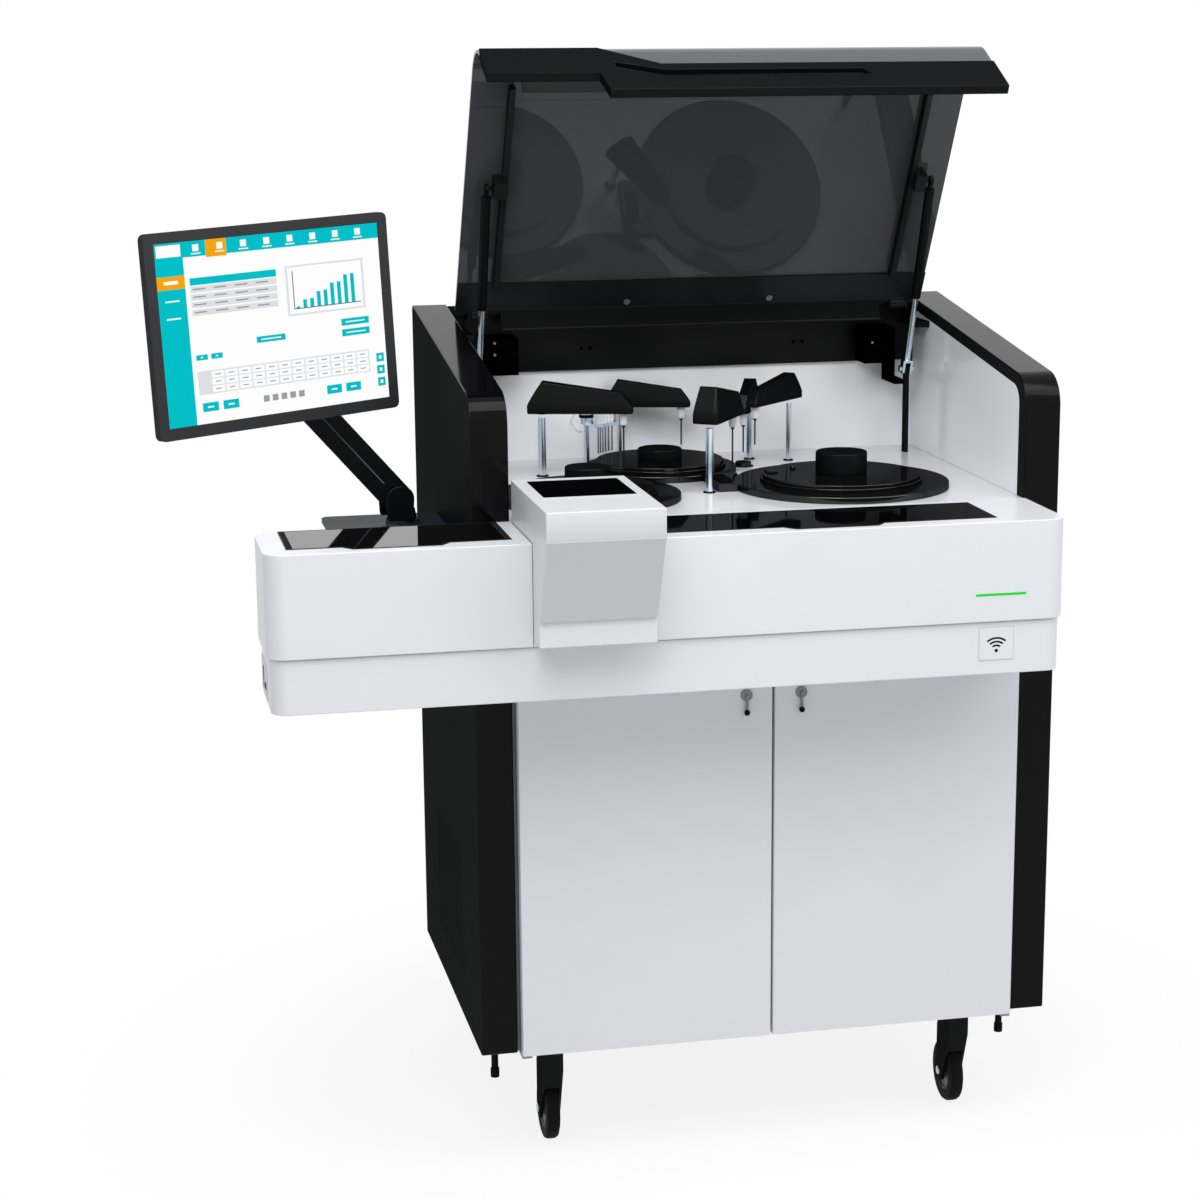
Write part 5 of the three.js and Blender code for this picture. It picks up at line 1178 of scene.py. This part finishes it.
def tube_along(name, points, radius, material, body, sides=12, steps=10):
    dense = curve_through(points, steps)
    bm = bmesh.new()
    side = Vector((0, 0, 1)).cross((dense[1] - dense[0]).normalized())
    if side.length < 0.05:
        side = Vector((1, 0, 0))
    rings = []
    for i, p in enumerate(dense):
        ahead = (dense[min(i + 1, len(dense) - 1)] - dense[max(i - 1, 0)]).normalized()
        side = (side - ahead * side.dot(ahead)).normalized()
        lift = ahead.cross(side)
        rings.append([bm.verts.new(at(*p) + (side * math.cos(a) + lift * math.sin(a)) * radius
                                   * MM) for a in (2 * math.pi * k / sides
                                                   for k in range(sides))])
    for a, b in zip(rings, rings[1:]):
        for k in range(sides):
            j = (k + 1) % sides
            bm.faces.new((a[k], a[j], b[j], b[k]))
    bm.faces.new(list(reversed(rings[0])))
    bm.faces.new(rings[-1])
    bmesh.ops.recalc_face_normals(bm, faces=bm.faces)
    return dress(mesh_object(name, bm), material, body)


# %% Cuvette washer
refined("cuvette_washer", chrome, 0.3, steps=1)
washer_body = body_of_node["cuvette_washer"]
reaction_x, reaction_y = carousels["reaction"][:2]
washer_heading, post_reach, tip_reach, tip_spread, tip_count = 135, 141, 107, 22, 6


def around_reaction(radius, degrees):
    angle = math.radians(degrees)
    return reaction_x + radius * math.cos(angle), reaction_y + radius * math.sin(angle)


post_x, post_y = around_reaction(post_reach, washer_heading)
turned("washer_cup", [(0, 0), (9.5, 0), (11.5, 3), (11.5, 22), (10.8, 22), (10.8, 4), (0, 3)],
       at(post_x, post_y, 1097.5), clear_glass, washer_body, sides=48)
turned("washer_band", [(11.2, 4), (12.0, 4), (12.0, 9), (11.2, 9)],
       at(post_x, post_y, 1078), grip_black, washer_body, sides=48)
tips = []
for i in range(tip_count):
    tip_heading = washer_heading + tip_spread * (i / (tip_count - 1) - 0.5)
    tips.append(turned("tip", [(0, 0), (2.6, 0), (3.2, 4), (3.2, 15), (0, 15)],
                       at(*around_reaction(tip_reach, tip_heading), 1076.5), white_pom,
                       washer_body, sides=20))
merge("washer_tips", tips, washer_body)
hose = [(-9, 0, 1092), (-20, -2, 1088), (-26, -4, 1074), (-18, -6, 1062), (-8, -2, 1058)]
tube_along("washer_hose", [(post_x + x, post_y + y, z) for x, y, z in hose], 1.8, clear_glass,
           washer_body)
print("washer made with", len(tips), "tubes")

# %% [markdown]
# ## The lid
# ### Sheet, frame and rail
# The lid is one smoked acrylic sheet, bent at its front, whose inner face mirrors the deck. Its
# frame and rail are black. The frame's lower flange faces the deck and lies in shade, so those
# faces take the grip's dull black as painted shade.

# %% Lid
refined("lid_shell", smoked_acrylic, 0.4, steps=1, shade=50)
lid_ribs = refined("lid_frame", lid_black, 0.5, steps=1)
# painted shade: flange faces picked by their normal get the darker black
slots(lid_ribs, [grip_black], lambda face: face.normal.y < -0.8 and face.normal.z > 0.3)
refined("lid_front_rail", black_abs, 1.4)
print("lid dressed")

# %% [markdown]
# ### Rear channel
# The channel under the lid's hinge carries an end box at each side. The boxes stand in the shade
# of the lid, so their faces get the unlit black as painted shade. The channel's upward faces get
# the grip's dull black, which is painted shade as well.

# %% Rear channel
box_x, box_top, box_back = (285, 350), 1216.5, 554


# painted shade: end-box faces take the unlit black, upward faces the dull grip black
def channel_shade_slot(face):
    x, y, z = (face.center - home) / MM
    if box_x[0] < abs(x) < box_x[1] and z < box_top and y < box_back:
        return 2
    return face.normal.z > 0.5


channel = refined("rear_channel", black_abs, 0.6, steps=1)
slots(channel, [grip_black, painted_shade_black], channel_shade_slot)
print("channel dressed")

# %% [markdown]
# ### Gas struts
# Each strut is a bright rod in a black cylinder. The CAD's cylinder is thicker than in the
# photograph, so the copy is slimmed about its own line, from the foot pivot through its middle,
# and the two ends stay where they are. Hexagon nuts hold the foot pivots.

# %% Gas struts
def disc(radius, low, high, centre, material, body="cabinet", sides=16, axis="Y"):
    return turned("disc", [(0, low), (radius, low), (radius, high), (0, high)], centre, material,
                  body, sides=sides, axis=axis)


strut_x, strut_foot_y, strut_foot_z, cylinder_share = 360, 488, 1146, 0.76
nuts = []
for side, x in (("left", -strut_x), ("right", strut_x)):
    refined(side + "_strut_rod", chrome, 0.3, steps=1)
    cylinder = refined(side + "_strut_cylinder", black_abs, 0.4, steps=1)
    strut_foot = at(x, strut_foot_y, strut_foot_z)
    verts = cylinder.data.vertices
    along = sum((v.co for v in verts), Vector()) / len(verts) - strut_foot
    along.x = 0
    along.normalize()
    for vert in verts:
        from_foot = vert.co - strut_foot
        on_line = along * from_foot.dot(along)
        vert.co = strut_foot + on_line + (from_foot - on_line) * cylinder_share
    for inner, outer in ((9.0, 12.4), (-12.4, -9.0)):
        nuts.append(disc(5.6, inner, outer, strut_foot, chrome, sides=6, axis="X"))
merge("strut_foot_nuts", nuts, "cabinet")
print("struts slimmed to", cylinder_share)

# %% [markdown]
# ### Screws and holes
# Small screws and holes on the channel's front are thin turned discs, the holes in an unlit black
# that is painted shade. Two round holes in the lid's lower band show the grey sheet behind it. They
# are discs as well, laid on the band's slope in the closed lid's frame and then opened with it.

# %% Screws in the channel
# painted shade: black discs stand for the holes
fixings = [disc(3.2, 0, 0.4, at(x, 555.5, 1188), painted_shade_black, sides=20)
           for x in (-178, -163, 184, 199)]
fixings += [disc(1.6, 0, 0.5, at(x, 555.4, 1226), bright_steel) for x in (-255, -60, 60, 255)]
fixings += [disc(2.2, 0, 0.5, at(x, 501.6, z), lock_grey)
            for x, z in ((-331, 1207), (-331, 1188), (305, 1189))]
merge("channel_screws", fixings, "cabinet")
print(len(fixings), "screws and holes in the channel")

# %% Holes in the lid's band
hinge, lid_open = at(0, 521, 1250.29), math.radians(-67)
band_fall, band_run = 77, 586
band_slope = math.atan2(band_fall, band_run)
hinge_turn = Matrix.Translation(hinge) @ Matrix.Rotation(lid_open, 4, "X")
through = []
for x in (-111, 129):
    hole = disc(5.4, -0.4, 0.2, Vector((0, 0, 0)), zinc_sheet, body_of_node["lid_frame"],
                sides=32, axis="Z")
    hole.data.transform(hinge_turn @ Matrix.Translation(Vector((x, -20, -4.2)) * MM)
                        @ Matrix.Rotation(band_slope, 4, "X"))
    through.append(hole)
merge("lid_band_holes", through, body_of_node["lid_frame"])
print("band slope", round(math.degrees(band_slope), 1), "degrees")

# %% [markdown]
# ## The monitor and its arm
# ### Housing
# The monitor is a charcoal moulding behind a thin bezel. Its solid is a plain box, and the real
# one draws in towards its back, so the copy is cut once behind the bezel and its back edge is
# drawn in by 21 mm.

# %% Monitor housing
screen_turn = (Matrix.Translation(at(-708.5, 153.5, 1285.2))
               @ Matrix.Rotation(math.radians(27.4), 4, "Z")
               @ Matrix.Rotation(math.radians(-2.05), 4, "X")
               @ Matrix.Rotation(math.radians(-1.8), 4, "Y"))
shell_half, shell_depth, bezel_depth, shell_draw = (205.2, 145.85), 34.0, 14.0, 21.0
shell = whole_faces("monitor_housing")
bmesh.ops.transform(shell, matrix=screen_turn.inverted(), verts=shell.verts)
bmesh.ops.bisect_plane(shell, geom=shell.verts[:] + shell.edges[:] + shell.faces[:],
                       plane_co=(0, bezel_depth * MM, 0), plane_no=(0, 1, 0))
for vert in shell.verts:
    at_back = abs(vert.co.y / MM - shell_depth) < 0.3
    if at_back and (abs(vert.co.x) > 190 * MM or abs(vert.co.z) > 130 * MM):
        vert.co.x *= 1 - shell_draw / shell_half[0]
        vert.co.z *= 1 - shell_draw / shell_half[1]
bmesh.ops.transform(shell, matrix=screen_turn, verts=shell.verts)
housing = mesh_object("monitor_shell", shell)
soften(housing, 1.3, 3)
housing.data.materials.clear()
dress(housing, bezel_black, body_of_node["monitor_housing"])
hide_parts("monitor_housing")
print("monitor", 2 * shell_half[0], "mm wide")

# %% [markdown]
# ### Arm
# Shelf and elbow stand a little lower in the photograph than in the CAD. So the copies move: the
# shelf 17 mm down, and the elbow 28 mm down and 9 mm to the left. The turret is stretched between
# the two, and the link is sheared towards the elbow while its upper end stays on the head.

# %% Monitor arm
shelf_drop = 17.0
pin, head_pin, link_heading = (-515, 285, 1029), (-766, 264.4, 1280.7), -3.0597
elbow = (pin[0] - 9, pin[1], pin[2] - 28)
sag = at(*elbow) - at(*pin)
turret_low, turret_high = 985 * MM, 1053 * MM
shelf = refined("monitor_shelf", shelf_grey, 1.0)
for vert in shelf.data.vertices:
    vert.co.z -= shelf_drop * MM
for name in ("pan_yoke", "level_head"):
    refined(name, black_abs, 0.6, steps=1)
turret = refined("arm_turret", black_abs, 0.6, steps=1)
link = refined("arm_link", black_abs, 9.0, steps=6)
for vert in turret.data.vertices:
    share = min(max((vert.co.z - turret_low) / (turret_high - turret_low), 0), 1)
    vert.co += sag * share - Vector((0, 0, shelf_drop * MM * (1 - share)))
link_run = at(*pin) - at(*head_pin)
for vert in link.data.vertices:
    share = (vert.co - at(*head_pin)).dot(link_run) / link_run.length_squared
    vert.co += sag * min(max(share, 0), 1.1)
print("elbow moved by", round(sag.length / MM), "mm")

# %% [markdown]
# The head has a turned cap on each side, and the elbow a rounded cover plate on each side that
# hides the joint. A fine grey strip runs along the link where its two shells meet, and its lighter
# grey is a painted highlight along that edge.

# %% Caps, elbow covers and the painted highlight on the seam
pin_turn = Matrix.Rotation(link_heading, 4, "Z") @ Matrix.Rotation(-math.pi / 2, 4, "X")
caps = []
for side in (-1, 1):
    cap = turned("cap", [(0, side * 25.4), (20, side * 25.4), (20, side * 28), (18, side * 30.5),
                         (14, side * 31.6), (0, side * 32)], Vector((0, 0, 0)), black_abs,
                 body_of_node["level_head"], sides=64)
    cap.data.transform(Matrix.Translation(at(*head_pin)) @ pin_turn)
    caps.append(cap)
merge("head_caps", caps, body_of_node["level_head"])
elbow_turn = Matrix.Translation(at(*elbow)) @ Matrix.Rotation(link_heading, 4, "Z")
stadium = outline([(-20, -32, 5), (20, -32, 5), (23, 22, 20), (-23, 22, 20)], 16)
covers = [pushed("cover", stadium, *span, black_abs, body_of_node["arm_turret"], axis="Y",
                 radius_mm=2.4, steps=4, place=elbow_turn)
          for span in ((25.5, 32.5), (-32.5, -25.5))]
merge("elbow_covers", covers, body_of_node["arm_turret"])
# painted highlight: a light grey strip along the link's edge
seam_start, seam_end, seam_half = 34, 330, 0.9
along = Vector((243.0, 279.7)).normalized()
across = Vector((-along.y, along.x)) * seam_half
seam = [along * seam_start - across, along * seam_end - across, along * seam_end + across,
        along * seam_start + across]
pushed("painted_link_highlight", seam, -20.4, -19.5, painted_highlight_grey, body_of_node["arm_link"], axis="Y",
       place=elbow_turn)
print("seam", seam_end - seam_start, "mm long")

# %% [markdown]
# ### Display
# The display shows a made-up workflow page in teal and amber: bars, a chart, a rack map and
# buttons. An image texture could hold it, but flat lit tiles stay sharp at any distance. A tile's
# place is in per cent of the page's width and height, counted from its top left corner, and each
# layer lies a hair in front of the one before.

# %% Display tiles
screen_body = body_of_node["monitor_screen"]
page_width, page_height, page_rise = 377.0, 259.5, 1.3
glass_front, layer_step = 1.15, 0.04
page = []


def tile(u, v, colour, layer=1):
    x0, x1 = (-page_width / 2 + page_width * s / 100 for s in u)
    z1, z0 = (page_rise + page_height / 2 - page_height * s / 100 for s in v)
    bm = bmesh.new()
    y = glass_front - layer_step * layer
    quad = [bm.verts.new((x * MM, y * MM, z * MM)) for x, z in
            ((x0, z0), (x1, z0), (x1, z1), (x0, z1))]
    bm.faces.new(quad)
    bmesh.ops.transform(bm, matrix=screen_turn, verts=bm.verts)
    page.append(dress(mesh_object("tile", bm), screen_colours[colour], screen_body))


# %% The page
tile((0, 100), (0, 100), "white")
tile((0, 100), (0, 8.5), "teal", 2)
tile((0, 12), (8.5, 100), "teal", 2)
tile((0.8, 11.2), (1.2, 7.6), "white", 3)
tile((22, 31), (0, 9.5), "amber", 3)
tile((0, 12), (18, 25), "amber", 3)
for k in range(8):
    u = 14 + 10.4 * k
    tile((u + 2.4, u + 5.0), (2.0, 5.6), "white", 4)
    tile((u + 1.6, u + 5.8), (6.6, 7.2), "white", 4)
for v in ((20.5, 21.5), (21.5, 22.3), (31, 31.8), (40.5, 41.3)):
    tile((3, 9), v, "white", 4)
print("bars and menu:", len(page), "tiles")

# %% Table and chart
tile((14, 52), (20, 24), "teal", 2)
for row in range(4):
    v = 24.6 + 4.2 * row
    tile((14, 52), (v, v + 3.4), "grey", 2)
    for column in range(4):
        u = 15 + 9.2 * column
        tile((u, u + 5.5), (v + 1.2, v + 2.0), "line", 3)
tile((56, 92), (19, 47), "grey", 2)
tile((57, 91), (20, 46), "white", 3)
for k in range(9):
    u = 60 + 3.2 * k
    bar_top = 42 - 1.9 * k - (1.6 if k % 2 else 0)
    tile((u, u + 1.8), (bar_top, 43), "teal", 4)
tile((59, 90), (43, 43.5), "dark", 4)
tile((59, 59.4), (22, 43.5), "dark", 4)
print("with table and chart:", len(page), "tiles")

# %% Rack map and buttons
for u, v in (((80, 93), (52, 56)), ((80, 93), (58, 62)), ((41, 54), (56, 59.5)),
             ((14, 19), (62, 65)), ((20.5, 25.5), (62, 65))):
    middle = (v[0] + v[1]) / 2
    tile(u, v, "teal", 2)
    tile((u[0] + 2, u[1] - 2), (middle - 0.3, middle + 0.3), "white", 3)
tile((14, 92), (71, 84), "grey", 2)
for row in range(3):
    for column in range(12):
        u, v = 20 + 6 * column, 71.8 + 4 * row
        tile((u, u + 5.4), (v, v + 3.4), "white", 3)
        tile((u + 1.4, u + 4), (v + 1.4, v + 2), "line", 4)
for u in (15, 24, 71, 80):
    tile((u, u + 7), (88.5, 93.5), "teal", 2)
    tile((u + 2.2, u + 4.8), (90.6, 91.4), "white", 3)
for k in range(5):
    tile((42 + 4 * k, 44.6 + 4 * k), (89, 92.6), "line", 2)
for k in range(3):
    tile((95.2, 98.8), (74 + 7 * k, 79 + 7 * k), "teal", 2)
    tile((96.4, 97.6), (75.6 + 7 * k, 77.4 + 7 * k), "white", 3)
merge("display_picture", page, screen_body)
refined("monitor_screen", tinted_glass, 0.2, steps=1)
print("display drawn with", len(page), "tiles")

# %% [markdown]
# ## Casters and feet
# The wheels have a rubber tyre on a nylon hub and turn in black moulded forks, on an axle with
# bright steel caps. Tyre, hub, fork and caps are drawn at about three quarters of the CAD's width,
# which is nearer to the photograph. The levelling feet are plain rubber.

# %% Casters and feet
caster_width_share = 0.76
wheel_height, trail = 50, 28
tyre_profile = [(31, -13.6), (43, -14.4), (47.4, -12.6), (49.6, -8), (50, 0), (49.6, 8),
                (47.4, 12.6), (43, 14.4), (31, 13.6), (31, -13.6)]
hub_profile = [(5.4, -14.2), (11, -14.2), (12, -10), (27, -9), (29, -12.6), (31.2, -12.6),
               (31.2, 12.6), (29, 12.6), (27, 9), (12, 10), (11, 14.2), (5.4, 14.2),
               (5.4, -14.2)]
right_cap = [(0, 20.6), (7, 20.6), (7, 23), (5.5, 24.6), (0, 24.6)]
left_cap = [(radius, -height) for radius, height in reversed(right_cap)]
for corner, (x, y) in {"front_left": (-330, 92), "front_right": (330, 92),
                       "rear_left": (-330, 522), "rear_right": (330, 522)}.items():
    fork = refined(corner + "_caster_fork", black_abs, 0.8)
    wheel = corner + "_caster_wheel"
    wheel_body = body_of_node[wheel]
    fork_body = body_of_node[corner + "_caster_fork"]
    centre = at(x, y + trail, wheel_height)
    tyre = turned(corner + "_tyre", tyre_profile, centre, rubber, wheel_body, sides=72, axis="X")
    hub = turned(corner + "_hub", hub_profile, centre, nylon_grey, wheel_body, sides=72, axis="X")
    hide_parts(wheel)
    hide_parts(wheel)
    ends = merge(corner + "_axle_caps", [
        turned("cap", profile, centre, bright_steel, fork_body, sides=24, axis="X")
        for profile in (right_cap, left_cap)], fork_body)
    for made in (fork, tyre, hub, ends):
        for vert in made.data.vertices:
            vert.co.x = centre.x + (vert.co.x - centre.x) * caster_width_share
    refined(corner + "_levelling_foot", rubber)
print("four casters and feet made")

# %% [markdown]
# ## Inside the cabinet
# Behind the doors stand the supply and waste canisters, a pump block and the board cage that such
# an analyzer holds, in a plain arrangement on the floor plate and a shelf. A hose runs from each
# canister up to the shelf.

# %% Cabinet contents
floor_plate, shelf_low, shelf_high = 190, 520, 524
canister_top = 430
canisters = ((-290, cap_blue), (-170, brass_tone), (-50, cap_blue))
contents = []
for x, colour in canisters:
    plan = rounded((x - 52, x + 52), (150, 330), 14, steps=5)
    contents.append(pushed("canister", plan, floor_plate, canister_top, bottle_hdpe, "cabinet",
                           radius_mm=6))
    contents.append(turned("canister_cap", [(0, 0), (26, 0), (26, 18), (23, 20), (0, 20)],
                           at(x, 240, canister_top), colour, "cabinet", sides=48))
contents.append(block("pump_case", (70, 250), (160, 340), (floor_plate, 330), nylon_grey,
                      "cabinet", 3))
for x in (100, 160, 220):
    contents.append(turned("pump_head", [(0, 0), (24, 0), (24, 14), (20, 20), (0, 20)],
                           at(x, 140, 270), black_abs, "cabinet", sides=40, axis="Y"))
contents.append(block("middle_shelf", (-360, 360), (120, 590), (shelf_low, shelf_high),
                      zinc_sheet, "cabinet", 0.6))
contents.append(block("board_cage", (-320, 40), (180, 520), (shelf_high, 700), zinc_sheet,
                      "cabinet", 1.5))
for k in range(9):
    x = -300 + 38 * k
    contents.append(block("board_front", (x, x + 30), (176, 180), (536, 690), shade_grey,
                          "cabinet", 0.6))
merge("cabinet_contents", contents, "cabinet")
for i, (x, colour) in enumerate(canisters):
    tube_along("supply_hose_%d" % i, [(x, 240, canister_top + 18), (x, 240, 480),
                                      (x + 30, 330, 500), (x + 60, 420, 521)], 4, cuvette_clear,
               "cabinet")
print("cabinet filled with", len(contents), "things")

# %% [markdown]
# ## Check and finish
# Every node should now be hidden behind the pieces that stand for it.

# %% Nodes left plain
print("nodes left plain:", [name for name in nodes if not nodes[name].hide_render])
